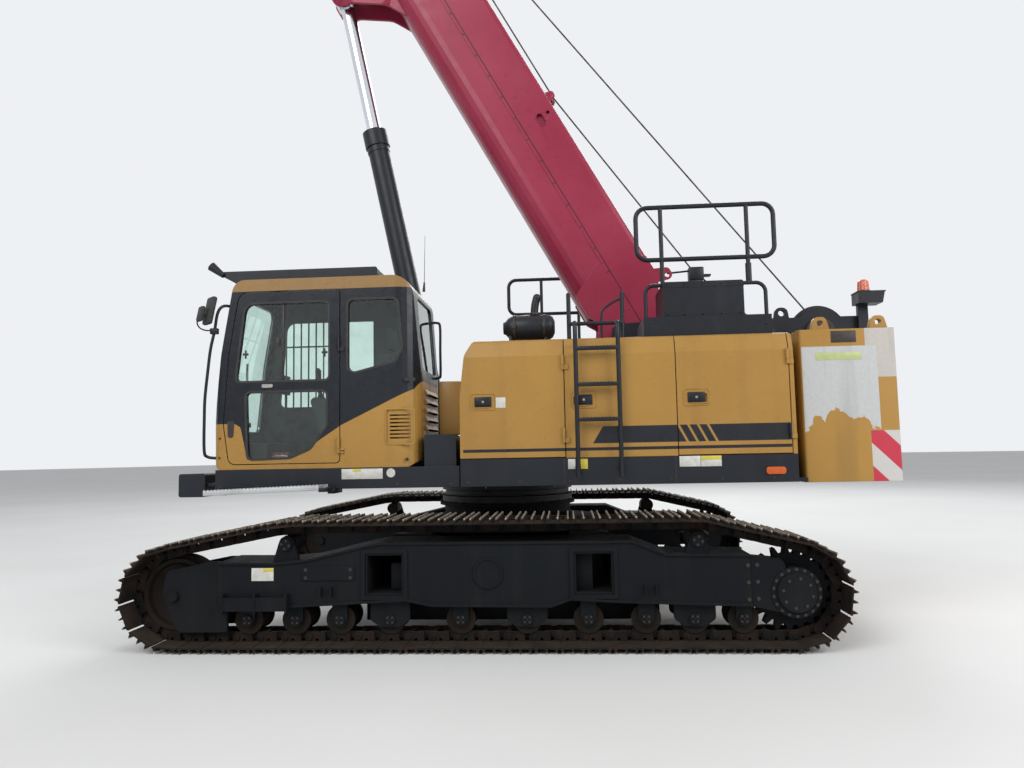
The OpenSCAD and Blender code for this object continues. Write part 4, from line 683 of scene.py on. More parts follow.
add_pair("sill_bolts", sill_bolts, dark_bolt)


def marker_ribs(shape):
    for x in evenly(-2.295, 0.015, 9):
        box_into(shape, (x, 1.502, 1.240), (x + 0.005, 1.505, 1.283), 0.001)


lens_orange = plain_finish("lens_orange", (0.60, 0.11, 0.012, 1), (0.45, 0.07, 0.010, 1), 0.18, 0.0, 25, coat=0.6)
add_pair("marker_ribs", marker_ribs, lens_orange)

# Hydraulic lines: six pressure hoses climb from the valve block between the webs to the boom's
# foot, and two steel pipes run forward along the deck to the cylinder's foot.
line_hoses, valve_block = bmesh.new(), bmesh.new()
box_into(valve_block, (-0.55, -0.22, 1.24), (-0.15, 0.22, 1.40), 0.008)
for x, y in zip(evenly(-0.30, -0.03, 6), evenly(-0.15, 0.06, 6)):
    hose_into(line_hoses, [(x, y, 1.42), (-0.48, y, 1.62), (-0.70, y * 1.2, 1.70), (-0.86, y * 1.2, 1.86),
                           (-0.90, y * 1.2, 2.02)], 0.017, 10, 8)
    bar_into(valve_block, (x, y, 1.39), (x, y, 1.425), 0.024, 6)
    bar_into(valve_block, (-0.55, y, 1.32), (-0.62, y, 1.32), 0.022, 16)
for y in (-0.12, 0.12):
    bar_into(valve_block, (-0.15, y, 1.30), (0.45, y, 1.30), 0.014, 12)
    bar_into(valve_block, (0.45, y, 1.30), (0.52, y, 1.42), 0.014, 12)
add_piece("line_hoses", line_hoses, rubber, "upper")
add_piece("valve_block", valve_block, ring_steel, "upper")

# Cab paint: the pressed shell is yellow on its roof and low down, with a gloss black field round
# the panes whose lower edge sweeps up to the rear. Inside it is lined in dark grey trim.
yellow_paint = (0.33, 0.180, 0.043, 1)
yellow_faded = (0.37, 0.205, 0.048, 1)
# Columns: place along the machine, height of the black field's lower edge
cab_sweep = [(0.50, 2.13), (0.56, 2.11), (0.65, 1.98), (0.92, 1.85), (1.25, 1.69), (1.51, 1.52), (1.68, 1.45),
             (1.91, 1.41), (2.04, 1.42), (2.10, 1.69), (2.15, 1.72), (2.40, 1.72)]
cab_centre = (1.45, 0.965, 2.10)


def curve_height(paint, along, points):
    """Height that a line through the points has at a place along the machine; it lies from 1 to 3 m."""
    x0, x1 = points[0][0], points[-1][0]
    ramp = paint.tree.nodes.new("ShaderNodeValToRGB")
    paint.tree.links.new(paint.ramp(along, x0, x1), ramp.inputs[0])
    stops = ramp.color_ramp.elements
    for x, _ in points[1:-1]:
        stops.new((x - x0) / (x1 - x0))
    for stop, (x, z) in zip(stops, points):
        level = (z - 1.0) / 2
        stop.position = (x - x0) / (x1 - x0)
        stop.color = (level, level, level, 1)
    return paint.ramp(ramp.outputs[0], 0, 1, 1.0, 3.0)


def cab_fields(paint, base, place):
    """Yellow below the sweep and on the roof, and trim grey on what faces the cab's inside."""
    line = curve_height(paint, place[0], cab_sweep)
    below = paint.ramp(paint.math("SUBTRACT", line, place[2]), -0.0015, 0.0015)
    roof = paint.ramp(place[2], 2.832, 2.835)
    yellow = paint.math("MAXIMUM", below, roof)
    tint = paint.mix(paint.ramp(paint.noise(0.9, 5), 0.35, 0.68), yellow_paint, yellow_faded)
    field = paint.mix(yellow, base, paint.mix(paint.math("MULTIPLY", roof, 0.6), tint, (0.20, 0.125, 0.060, 1)))
    own = paint.add("ShaderNodeTexCoord", {})["Normal"]
    away = paint.add("ShaderNodeVectorMath", {0: paint.place, 1: cab_centre}, operation="SUBTRACT")[0]
    inner = paint.ramp(paint.add("ShaderNodeVectorMath", {0: own, 1: away}, operation="DOT_PRODUCT")["Value"],
                       -0.10, -0.12)
    return paint.mix(inner, field, (0.035, 0.037, 0.040, 1))


cab_paint = wear_paint("cab_paint", (0.0065, 0.0085, 0.0130, 1), (0.0105, 0.0130, 0.0190, 1), gloss=0.26,
                       dust=0.14, chips=0.06, pattern=cab_fields, streak=0.10)
finish_nodes(cab_paint, "cab_shell", "cab_door")

# Cab glass: green-tinted safety glass with a film of dust, held in black rubber seals that lip
# over both sides of each opening.
glass = Finish("cab_glass")
glass_dust = glass.ramp(glass.noise(4, 6), 0.45, 0.8)
glass.set(colour=glass.mix(glass_dust, (0.80, 0.93, 0.88, 1), (0.70, 0.80, 0.76, 1)), transmission=1.0, ior=1.45,
          roughness=glass.ramp(glass_dust, 0, 1, 0.0, 0.05), normal=glass.bump(glass.noise(1.2, 2), 0.02, 0.004))
finish_nodes(glass, "cab_glass", "cab_door_glass")


def rounded(corners):
    """Outline with each corner (x, z, radius) turned into an arc."""
    outline = []
    for index, (x, z, radius) in enumerate(corners):
        here = Vector((x, z))
        back = (Vector(corners[index - 1][:2]) - here).normalized()
        on = (Vector(corners[(index + 1) % len(corners)][:2]) - here).normalized()
        half = math.acos(max(-1, min(1, back.dot(on)))) / 2
        centre = here + (back + on).normalized() * radius / math.sin(half)
        first = here + back * radius / math.tan(half) - centre
        last = here + on * radius / math.tan(half) - centre
        start = math.atan2(first.y, first.x)
        sweep = (math.atan2(last.y, last.x) - start + math.pi) % (2 * math.pi) - math.pi
        for step in range(7):
            turn = start + sweep * step / 6
            outline.append(centre + radius * Vector((math.cos(turn), math.sin(turn))))
    return outline


def corners_of(x0, z0, x1, z1, radius):
    """Corners of a rectangle for rounded."""
    return [(x0, z0, radius), (x1, z0, radius), (x1, z1, radius), (x0, z1, radius)]


def seal_into(shape, corners, y0, y1, grow=0.011, shrink=0.007):
    """Flat rubber ring round an opening, from y0 to y1."""
    edge = rounded(corners)
    count = len(edge)
    sides = []
    for reach in (grow, -shrink):
        line = []
        for index, place in enumerate(edge):
            along = (edge[(index + 1) % count] - edge[index - 1]).normalized()
            line.append(place + Vector((along.y, -along.x)) * reach)
        sides.append(line)
    outer, inner = sides
    loops = [[(p.x, y, p.y) for p in line] for line, y in ((outer, y0), (outer, y1), (inner, y1), (inner, y0))]
    loft_into(shape, loops, closed=True)


door_pane_high = [(1.35, 2.07, 0.04), (2.15, 2.07, 0.04), (2.07, 2.73, 0.09), (1.35, 2.73, 0.05)]
door_pane_low = [(1.51, 1.50, 0.06), (1.68, 1.43, 0.06), (2.04, 1.42, 0.05), (2.06, 1.98, 0.04),
                 (1.37, 1.98, 0.04), (1.37, 1.69, 0.05)]
rear_pane = [(0.79, 2.21, 0.06), (1.195, 2.11, 0.06), (1.195, 2.74, 0.05), (0.77, 2.74, 0.06), (0.735, 2.32, 0.06)]
right_pane = [(0.80, 1.90, 0.06), (2.15, 1.90, 0.06), (2.08, 2.73, 0.09), (0.78, 2.73, 0.06)]
# Columns: name, body, list of openings, y of the seal's two sides
seals = [
    ["door_seals", "cab_door", [door_pane_high, door_pane_low], 1.427, 1.4725],
    ["cab_left_seal", "upper", [rear_pane], 1.427, 1.4725],
    ["cab_right_seal", "upper", [right_pane], 0.4575, 0.503],
]
for name, body, openings, y0, y1 in seals:
    seal = bmesh.new()
    for corners in openings:
        seal_into(seal, corners, y0, y1)
    add_piece(name, seal, rubber, body)

# Door fittings: the divider of the sliding pane with its two catches, the lock's pull under it,
# and bolts in the hinge leaves.
door_trim = bmesh.new()
box_into(door_trim, (1.738, 1.443, 2.068), (1.756, 1.456, 2.732), 0.002)
box_into(door_trim, (1.775, 1.450, 2.36), (1.800, 1.466, 2.43), 0.004)
for x in (2.066, 1.390):
    box_into(door_trim, (x - 0.006, 1.452, 2.265), (x + 0.006, 1.468, 2.335), 0.003)
    box_into(door_trim, (x - 0.024, 1.456, 2.292), (x + 0.024, 1.470, 2.310), 0.003)
add_piece("door_trim", door_trim, dark_bolt, "cab_door")
door_lock = bmesh.new()
plate_into(door_lock, rounded([(1.827, 2.016, 0.014), (1.921, 2.016, 0.014), (1.921, 2.045, 0.006),
                               (1.827, 2.045, 0.006)]), 1.4695, 1.4735)
add_piece("door_lock", door_lock, bright_bolt, "cab_door")
leaf_bolts = bmesh.new()
for z in (1.50, 2.34):
    for x in (1.228, 1.246):
        bolt_into(leaf_bolts, (x, 1.480, z - 0.020), (0, 1, 0), 0.0045)
add_piece("cab_hinge_bolts", leaf_bolts, dark_bolt, "upper")

# Cab body fittings: a flat black plate beside the door's foot, painted shade for the opener's recessed pocket, a flat
# dark oval behind the rear pane, painted shade for an oval recess, a drain plug, the rubber-mounted whip antenna, and
# the wiper on the windscreen.
cab_trim = bmesh.new()
# Painted shade: a flat black plate for the opener's recessed pocket.
plate_into(cab_trim, rounded([(2.160, 1.605, 0.020), (2.206, 1.605, 0.020), (2.212, 1.745, 0.010),
                              (2.154, 1.745, 0.010)]), 1.466, 1.4735)
# Painted shade: a flat dark oval for an oval recess in the shell.
plate_into(cab_trim, rounded(corners_of(0.625, 2.040, 0.720, 2.070, 0.014)), 1.466, 1.4735)
bar_into(cab_trim, (0.699, cab_face - 0.001, 1.401), (0.699, cab_face + 0.004, 1.401), 0.014, 20)
for x, z in ((2.278, 1.44), (2.275, 1.60)):
    bolt_into(cab_trim, (x, cab_face, z), (0, 1, 0), 0.006)
bar_into(cab_trim, (0.655, 0.90, 2.905), (0.650, 0.90, 2.99), 0.014, 16, 0.007)
bar_into(cab_trim, (0.650, 0.90, 2.98), (0.640, 0.90, 3.42), 0.003, 8, 0.0015)
add_piece("cab_trim", cab_trim, rubber, "upper")
wiper = bmesh.new()
bar_into(wiper, (2.325, 0.75, 1.735), (2.360, 0.75, 1.735), 0.022, 20)
hose_into(wiper, [(2.356, 0.75, 1.735), (2.358, 0.80, 1.95), (2.340, 0.86, 2.12)], 0.007, 8, 5)
box_into(wiper, (2.318, 0.83, 1.86), (2.332, 0.845, 2.30), 0.003)
box_into(wiper, (2.312, 0.834, 1.86), (2.320, 0.841, 2.30))
add_piece("wiper", wiper, dark_bolt, "upper")

# Cab inside: foam seat with bolsters and a head rest, two joystick consoles with gaiters, a small
# screen on the right front pillar, the heater box low in front, a fire extinguisher, and the panel
# that lines the right wall's rear part.
trim_grey = plain_finish("trim_grey", (0.030, 0.031, 0.033, 1), (0.050, 0.051, 0.053, 1), 0.6, 0.0, 60)
finish_nodes(trim_grey, "cab_interior")
cloth = plain_finish("seat_cloth", (0.028, 0.030, 0.036, 1), (0.060, 0.062, 0.068, 1), 0.9, 0.0, 160, 0.0015)
# Columns: name, lowest corner, highest corner, how far its edges are rounded
cushions = [
    ["seat_cushion", (0.985, 0.735, 1.775), (1.490, 1.195, 1.860), 0.036],
    ["seat_head_rest", (0.905, 0.840, 2.360), (0.985, 1.090, 2.560), 0.034],
    ["arm_rest_left", (0.960, 1.250, 1.925), (1.330, 1.330, 1.975), 0.020],
    ["arm_rest_right", (0.960, 0.600, 1.925), (1.330, 0.680, 1.975), 0.020],
]
for name, low, high, soft in cushions:
    cushion = bmesh.new()
    box_into(cushion, low, high, soft)
    add_piece(name, cushion, cloth, "upper")
controls = bmesh.new()
for y in (0.625, 1.305):
    bar_into(controls, (1.465, y, 1.885), (1.475, y, 1.960), 0.050, 20, 0.020)
    bar_into(controls, (1.488, y, 2.060), (1.496, y, 2.165), 0.020, 16, 0.026)
    bar_into(controls, (1.496, y, 2.160), (1.500, y, 2.185), 0.026, 16, 0.012)
box_into(controls, (2.02, 0.530, 2.02), (2.06, 0.700, 2.20), 0.010)
bar_into(controls, (2.04, 0.60, 1.72), (2.04, 0.60, 2.03), 0.012, 10)
box_into(controls, (1.93, 0.55, 1.382), (2.24, 1.30, 1.56), 0.030)
for y in (0.86, 1.03):
    box_into(controls, (1.80, y - 0.045, 1.43), (1.90, y + 0.045, 1.445), 0.004)
    bar_into(controls, (1.85, y, 1.44), (1.96, y, 1.50), 0.010, 10)
add_piece("cab_controls", controls, rubber, "upper")
bottle = bmesh.new()
bar_into(bottle, (1.78, 1.19, 1.430), (1.98, 1.19, 1.430), 0.050, 24)
bar_into(bottle, (1.98, 1.19, 1.430), (2.03, 1.19, 1.430), 0.050, 24, 0.020)
bottle_red = plain_finish("extinguisher_red", (0.16, 0.010, 0.010, 1), (0.20, 0.02, 0.015, 1), 0.35, 0.0, 12)
add_piece("fire_extinguisher", bottle, bottle_red, "upper")
rear_trim = bmesh.new()
box_into(rear_trim, (0.745, 0.505, 1.880), (1.220, 0.513, 2.760), 0.004)
add_piece("cab_rear_trim", rear_trim, trim_grey, "upper")

# Mirror and work lamp: a bent tube from the cab's front corner to its foot carries a clamp, from
# which a thin rod holds the moulded head and a small wide-angle head; their glass faces rearwards.
mirror_arm = bmesh.new()
hose_into(mirror_arm, [(2.200, 1.400, 2.722), (2.262, 1.468, 2.716), (2.296, 1.500, 2.650), (2.320, 1.500, 2.502),
                       (2.353, 1.500, 2.345), (2.376, 1.500, 2.136), (2.394, 1.500, 1.940), (2.397, 1.500, 1.784),
                       (2.395, 1.498, 1.510), (2.378, 1.475, 1.452), (2.316, 1.420, 1.437)], 0.0125, 14, 6)
for x, z in ((2.204, 2.722), (2.318, 1.437)):
    box_into(mirror_arm, (x - 0.003, 1.375, z - 0.028), (x + 0.006, 1.430, z + 0.028), 0.003)
box_into(mirror_arm, (2.288, 1.480, 2.474), (2.354, 1.520, 2.524), 0.006)
bolt_into(mirror_arm, (2.338, 1.520, 2.499), (0, 1, 0), 0.007)
hose_into(mirror_arm, [(2.345, 1.505, 2.508), (2.385, 1.515, 2.506), (2.430, 1.530, 2.524), (2.452, 1.540, 2.566),
                       (2.440, 1.540, 2.620)], 0.006, 10, 6)
hose_into(mirror_arm, [(2.440, 1.540, 2.600), (2.410, 1.535, 2.625), (2.365, 1.527, 2.640)], 0.006, 10, 6)
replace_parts(add_piece("mirror_arm", mirror_arm, deck_black, "upper"), "side_mirror")
mirror_glass = plain_finish("mirror_glass", (0.72, 0.74, 0.76, 1), (0.66, 0.69, 0.72, 1), 0.04, 1.0, 3, 0.0001)
# Columns: name, middle of the head, half of its thickness, width and height
mirror_heads = [
    ["mirror_head", (2.350, 1.530, 2.668), (0.022, 0.066, 0.120)],
    ["mirror_wide", (2.414, 1.556, 2.640), (0.018, 0.045, 0.066)],
]
mirror_turn = Matrix.Rotation(math.radians(48), 4, "Z") @ Matrix.Rotation(math.radians(-11), 4, "Y")
mirror_rim = 0.016
for name, middle, (depth, width, height) in mirror_heads:
    turned = Matrix.Translation(middle) @ mirror_turn
    pane_width, pane_height = width - mirror_rim, height - mirror_rim
    head, pane = bmesh.new(), bmesh.new()
    box_into(head, (-depth, -width, -height), (depth, width, height), mirror_rim)
    box_into(pane, (-depth - 0.002, -pane_width, -pane_height), (-depth + 0.002, pane_width, pane_height), 0.001)
    for shape, word, finish in ((head, "", rubber), (pane, "_pane", mirror_glass)):
        bmesh.ops.transform(shape, verts=shape.verts, matrix=turned)
        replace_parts(add_piece(name + word, shape, finish, "upper"), "side_mirror")
lamp_lens = bmesh.new()
lamp_lean = math.radians(52)
lamp_aim = Vector((math.sin(lamp_lean), 0, math.cos(lamp_lean)))
lamp_face = Vector((2.295, 1.395, 2.995)) + lamp_aim * 0.140
bar_into(lamp_lens, lamp_face, lamp_face + lamp_aim * 0.006, 0.036, 32, 0.030)
lens_clear = plain_finish("lens_clear", (0.55, 0.57, 0.58, 1), (0.40, 0.42, 0.44, 1), 0.12, 0.6, 90, 0.002, 0.8)
add_piece("work_lamp_lens", lamp_lens, lens_clear, "upper")

# Cab step: a grip-strut tread of bent aluminium with a toothed edge, clear lacquered and scuffed,
# hung on two steel brackets under the sill; its front end has sagged a little.
step_metal = wear_paint("step_metal", (0.50, 0.52, 0.53, 1), (0.40, 0.41, 0.41, 1), gloss=0.36, dust=0.12, chips=0.0)
step_metal.set(metallic=0.25)
tread = bmesh.new()
for y in (1.500, 1.726):
    box_into(tread, (1.347, y, 1.158), (2.283, y + 0.014, 1.196), 0.002)
for x in evenly(1.352, 0.0295, 32):
    box_into(tread, (x, 1.510, 1.186), (x + 0.012, 1.730, 1.196))
    box_into(tread, (x, 1.727, 1.194), (x + 0.012, 1.739, 1.203))
bmesh.ops.rotate(tread, verts=tread.verts, cent=(1.815, 1.6, 1.178),
                 matrix=Matrix.Rotation(math.radians(1.9), 3, "Y"))
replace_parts(add_piece("step_tread", tread, step_metal, "upper"), "cab_step")
hangers = bmesh.new()
for x in (1.290, 2.200):
    box_into(hangers, (x, 1.290, 1.134), (x + 0.060, 1.505, 1.1697), 0.003)
box_into(hangers, (1.285, 1.500, 1.160), (1.350, 1.738, 1.190), 0.004)
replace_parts(add_piece("step_hangers", hangers, deck_black, "upper"), "cab_step")

# Hoods: pressed yellow panels. The sides carry a black band whose front end is cut at a slant,
# four slanted yellow bars inside it, and a thin dark line below it. A small yellow cover stands on
# the deck between cab and hood.
def hood_fields(paint, base, place):
    """Dark band with slanted bars left out of it, and the line below it, on the hood's sides."""
    above = paint.math("SUBTRACT", place[2], band_low)
    slant = paint.math("ADD", place[0], paint.math("MULTIPLY", above, 0.61))
    band = paint.both(paint.between(place[2], band_low, band_high), paint.between(slant, -2.60, -0.812),
                      paint.ramp(place[0], band_rear - 0.0010, band_rear + 0.0020))
    leaning = paint.math("SUBTRACT", place[0], paint.math("MULTIPLY", above, 0.52))
    step = paint.math("FRACT", paint.math("DIVIDE", paint.math("SUBTRACT", leaning, bars_rear), bar_step))
    bars = paint.both(paint.between(step, 0.37, 0.63, 0.02),
                      paint.between(leaning, bars_rear, bars_rear + 4 * bar_step))
    line = paint.both(paint.between(place[2], 1.443, 1.468), paint.between(place[0], band_rear, 0.235))
    dark = paint.math("MAXIMUM", paint.both(band, paint.math("SUBTRACT", 1.0, bars)), line)
    side = paint.ramp(paint.math("ABSOLUTE", place[1]), 1.4795, 1.4800)
    return paint.mix(paint.both(dark, side), base, (0.014, 0.015, 0.020, 1))


band_low, band_high, band_rear = 1.500, 1.635, -2.368
bars_rear, bar_step = -1.8315, 0.077
hood_paint = wear_paint("hood_paint", yellow_paint, yellow_faded, gloss=0.28, dust=0.22, chips=0.12,
                        pattern=hood_fields, streak=0.16)
finish_nodes(hood_paint, "hood_left", "hood_right", "hood_door_front", "hood_door_rear")
deck_cover = bmesh.new()
box_into(deck_cover, (0.300, 0.930, 1.600), (0.500, 1.060, 2.070), 0.015)
add_piece("deck_cover", deck_cover, hood_paint, "upper")

# Hood latches: black plate over a pressed recess, its paddle hinged at the top, with a silver
# lock plug in the middle.
latch_z, plate_high, plate_wide, frame_high, frame_wide = 1.852, 0.040, 0.068, 0.066, 0.100
# Columns: name, body, side, place along the machine
latches = [
    ["front_door", "hood_door_front", 1, 0.068], ["middle", "upper", 1, -0.748],
    ["rear_door", "hood_door_rear", 1, -1.641], ["right_front", "upper", -1, 0.0],
    ["right_middle", "upper", -1, -0.72], ["right_rear", "upper", -1, -1.60],
]
for name, body, side, x in latches:
    paddle, lock, pressing = bmesh.new(), bmesh.new(), bmesh.new()
    for inset, low_y, high_y, soft in ((0, 1.4895, 1.5010, 0.003), (0.012, 1.4930, 1.5030, 0.002)):
        wide, high = plate_wide - inset, plate_high - inset * 5 / 6
        box_into(paddle, (x - wide, low_y, latch_z - high), (x + wide, high_y, latch_z + high), soft)
    bar_into(lock, (x, 1.502, latch_z), (x, 1.505, latch_z), 0.010, 20)
    box_into(lock, (x - 0.002, 1.5045, latch_z - 0.005), (x + 0.002, 1.5055, latch_z + 0.005))
    around_plate = corners_of(x - frame_wide, latch_z - frame_high, x + frame_wide, latch_z + frame_high, 0.022)
    pressed_edge = [Vector((place.x, 1.4885, place.y)) for place in rounded(around_plate)]
    sweep_into(pressing, pressed_edge, 0.006, 8, closed=True)
    for shape, word, finish in ((paddle, "_paddle", deck_black), (lock, "_lock", bright_bolt),
                                (pressing, "_pressing", hood_paint)):
        bmesh.ops.scale(shape, verts=shape.verts, vec=(1, side, 1))
        add_piece("latch_" + name + word, shape, finish, body)

# Hood inside: rubber strips along the door openings, and a coarse wire screen behind the right
# hood's two grilles with the cooler's core behind it.
door_strips = bmesh.new()
for x0, x1 in ((-0.585, 0.180), (-2.365, -1.495)):
    box_into(door_strips, (x0, 1.428, 1.398), (x1, 1.446, 1.410), 0.003)
    for x in (x0, x1 - 0.012):
        box_into(door_strips, (x, 1.436, 1.40), (x + 0.012, 1.448, 2.20), 0.003)
add_piece("door_strips", door_strips, rubber, "upper")
cooler_screen = bmesh.new()
for low in (1.505, 1.945):
    for x in evenly(-2.215, 0.021, 26):
        bar_into(cooler_screen, (x, -1.443, low), (x, -1.443, low + 0.25), 0.0018, 5)
    for z in evenly(low, 0.0205, 13):
        bar_into(cooler_screen, (-2.22, -1.4405, z), (-1.685, -1.4405, z), 0.0018, 5)
add_piece("cooler_screen", cooler_screen, dark_bolt, "upper")
cooler_core = bmesh.new()
box_into(cooler_core, (-2.25, -1.38, 1.45), (-1.65, -1.26, 2.22), 0.006)
for z in evenly(1.47, 0.0215, 34):
    box_into(cooler_core, (-2.24, -1.388, z), (-1.66, -1.3795, z + 0.007))
add_piece("cooler_core", cooler_core, ring_steel, "upper")

# Engine: the block shows when the doors stand open, so its near side has a rocker cover, a row of
# injector pipes, filters, an exhaust manifold, the fan's ring and the belts.
engine_grey = wear_paint("engine_grey", (0.060, 0.064, 0.066, 1), (0.090, 0.092, 0.092, 1), gloss=0.5, dust=0.4,
                         chips=0.4)
finish_nodes(engine_grey, "engine_block")
engine_parts = bmesh.new()
box_into(engine_parts, (-2.05, 0.78, 2.045), (-1.30, 1.14, 2.120), 0.020)
for x in evenly(-1.98, 0.125, 6):
    box_into(engine_parts, (x - 0.040, 1.328, 1.700), (x + 0.040, 1.362, 1.960), 0.010)
    bar_into(engine_parts, (x, 1.355, 1.900), (x + 0.02, 1.250, 2.058), 0.006, 8)
bar_into(engine_parts, (-2.05, 1.385, 1.660), (-1.28, 1.385, 1.660), 0.036, 20)
for x in (-2.00, -1.88):
    bar_into(engine_parts, (x, 1.375, 1.360), (x, 1.375, 1.560), 0.045, 24)
    bar_into(engine_parts, (x, 1.375, 1.560), (x, 1.375, 1.590), 0.052, 24)
box_into(engine_parts, (-1.70, 1.328, 1.300), (-1.35, 1.385, 1.520), 0.012)
add_piece("engine_parts", engine_parts, engine_grey, "upper")
fan_guard = bmesh.new()
hub = Vector((-1.10, 0.98, 1.74))
for radius in (0.10, 0.16, 0.22, 0.28):
    circle = [hub + Vector((0, y, z)) for y, z in ring_of(40, radius)]
    for start, end in zip(circle, circle[1:] + circle[:1]):
        bar_into(fan_guard, start, end, 0.005, 5)
for y, z in ring_of(8, 0.28):
    bar_into(fan_guard, hub, hub + Vector((0, y, z)), 0.005, 5)
bar_into(fan_guard, hub - Vector((0.05, 0, 0)), hub + Vector((0.005, 0, 0)), 0.075, 24)
for y, z in ring_of(4, 0.28, 0.785):
    bar_into(fan_guard, hub + Vector((-0.05, y, z)), hub + Vector((0, y, z)), 0.008, 8)
add_piece("fan_guard", fan_guard, dark_bolt, "upper")

# Ladder and rails: black tube. The ladder's stringers bend in over the hood's edge to a bar between
# two grab posts; its rungs have grip studs. The upper rail stands on the silencer box and its
# side rail, another stands on the right hood, and a grab handle sits behind the cab.
ladder = bmesh.new()
stringers, posts, rungs, post_y = (-0.690, -1.030), (-0.645, -1.084), (1.69, 1.97, 2.26), 1.370
for x in stringers:
    hose_into(ladder, [(x, 1.560, 1.230), (x, 1.560, 1.700), (x, 1.560, 2.200), (x, 1.558, 2.400), (x, 1.520, 2.470),
                       (x, post_y, 2.492)], 0.018, 14, 6)
    box_into(ladder, (x - 0.015, 1.4895, 1.300), (x + 0.015, 1.550, 1.330), 0.003)
    box_into(ladder, (x - 0.012, 1.4895, 2.300), (x + 0.012, 1.550, 2.322), 0.003)
for z in rungs:
    box_into(ladder, (-1.020, 1.540, z - 0.015), (-0.700, 1.580, z + 0.015), 0.003)
bar_into(ladder, (posts[0], post_y, 2.490), (posts[1], post_y, 2.490), 0.017, 14)
for x in posts:
    bar_into(ladder, (x, post_y, 2.352), (x, post_y, 2.742), 0.018, 16)
    bar_into(ladder, (x, post_y, 2.742), (x, post_y, 2.752), 0.018, 16, 0.010)
handle = [(-1.070, 2.690), (-1.000, 2.655), (-0.928, 2.600), (-0.913, 2.530), (-0.913, 2.352)]
hose_into(ladder, [(x, post_y, z) for x, z in handle], 0.010, 10, 6)
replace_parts(add_piece("ladder_tubes", ladder, deck_black, "upper"), "ladder")
rails = bmesh.new()
rail_y, front_post, rear_post = 1.20, -1.446, -2.165
# Columns: rail's place across the machine, its corners in X and Z, its posts' places and feet
rail_loops = [
    [rail_y, corners_of(-1.237, 3.045, -2.388, 3.500, 0.095), [(front_post, 2.819), (rear_post, 2.826)]],
    [-rail_y, corners_of(-0.850, 3.045, 0.035, 3.455, 0.090), [(-0.350, 2.359), (-0.780, 2.359)]],
]
for y, corners, feet in rail_loops:
    sweep_into(rails, [Vector((x, y, z)) for x, z in rounded(corners)], 0.020, 14, closed=True)
    for x, low in feet:
        bar_into(rails, (x, y, low), (x, y, corners[2][1]), 0.018, 14)
bar_into(rails, (rear_post, rail_y, 2.826), (rear_post, rail_y, 2.990), 0.025, 14)
cab_handle = [(0.642, 2.665), (0.590, 2.665), (0.560, 2.630), (0.560, 2.400), (0.560, 2.180), (0.575, 2.145),
              (0.606, 2.140)]
hose_into(rails, [(x, 0.600, z) for x, z in cab_handle], 0.012, 12, 6)
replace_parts(add_piece("roof_rails", rails, deck_black, "upper"), "handrails")
ladder_grip = bmesh.new()
for z in rungs:
    for x in evenly(-0.975, 0.029, 9):
        for y in (1.548, 1.570):
            bar_into(ladder_grip, (x, y, z + 0.0145), (x, y, z + 0.0195), 0.006, 8, 0.004)
for x in stringers:
    bolt_into(ladder_grip, (x, 1.512, 1.330), (0, 0, 1), 0.008)
add_piece("ladder_grip", ladder_grip, deck_black, "upper")
rail_foot = bmesh.new()
box_into(rail_foot, (front_post - 0.045, rail_y - 0.045, 2.8205), (front_post + 0.045, rail_y + 0.045, 2.829), 0.002)
for along, across in ring_of(4, 0.046, math.pi / 4):
    bolt_into(rail_foot, (front_post + along, rail_y + across, 2.829), (0, 0, 1), 0.006)
bar_into(rail_foot, (front_post, rail_y, 2.829), (front_post, rail_y, 2.838), 0.024, 16, 0.0185)
add_piece("rail_feet", rail_foot, deck_black, "upper")

# Silencer box and air cleaner: the box is folded plate with a bolted lid; the cleaner is a drawn
# steel can on two feet, held by clamp bands with catches, with a bent intake stack.
box_fittings = bmesh.new()
for x in (-2.05, -1.90, -1.75, -1.60, -1.46):
    for z in (2.795, 2.545):
        bolt_into(box_fittings, (x, 1.350, z), (0, 1, 0), 0.006)
box_into(box_fittings, (-2.085, 0.848, 2.770), (-1.423, 1.352, 2.776))
for x in (-2.24, -1.30):
    bolt_into(box_fittings, (x, 1.400, 2.44), (0, 1, 0), 0.007)
add_piece("silencer_fittings", box_fittings, deck_black, "upper")
cleaner = bmesh.new()
cleaner_y, cleaner_z = 1.10, 2.512
# Columns: place along the can, radius there
cleaner_profile = [(-0.525, 0.0), (-0.525, 0.050), (-0.508, 0.088), (-0.478, 0.107), (-0.300, 0.113), (-0.165, 0.107),
                   (-0.125, 0.088), (-0.100, 0.058), (-0.080, 0.050), (-0.080, 0.0)]
spine = [cleaner.verts.new((x, cleaner_y, cleaner_z + reach)) for x, reach in cleaner_profile]
spine_edges = [cleaner.edges.new(pair) for pair in zip(spine, spine[1:])]
bmesh.ops.spin(cleaner, geom=spine + spine_edges, cent=(0, cleaner_y, cleaner_z), axis=(1, 0, 0),
               angle=2 * math.pi, steps=40, use_merge=True)
bmesh.ops.remove_doubles(cleaner, verts=cleaner.verts, dist=0.0002)
for x in (-0.46, -0.16):
    box_into(cleaner, (x, 1.040, 2.3605), (x + 0.030, 1.160, 2.440), 0.003)
stack = [(-0.352, 2.600), (-0.352, 2.660), (-0.360, 2.720), (-0.374, 2.772)]
hose_into(cleaner, [(x, cleaner_y, z) for x, z in stack], 0.034, 20, 6)
bmesh.ops.create_uvsphere(cleaner, u_segments=20, v_segments=12, radius=0.0345,
                          matrix=Matrix.Translation((-0.375, cleaner_y, 2.774)))
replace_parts(add_piece("air_cleaner_can", cleaner, deck_black, "upper"), "air_cleaner")
cleaner_bands = bmesh.new()
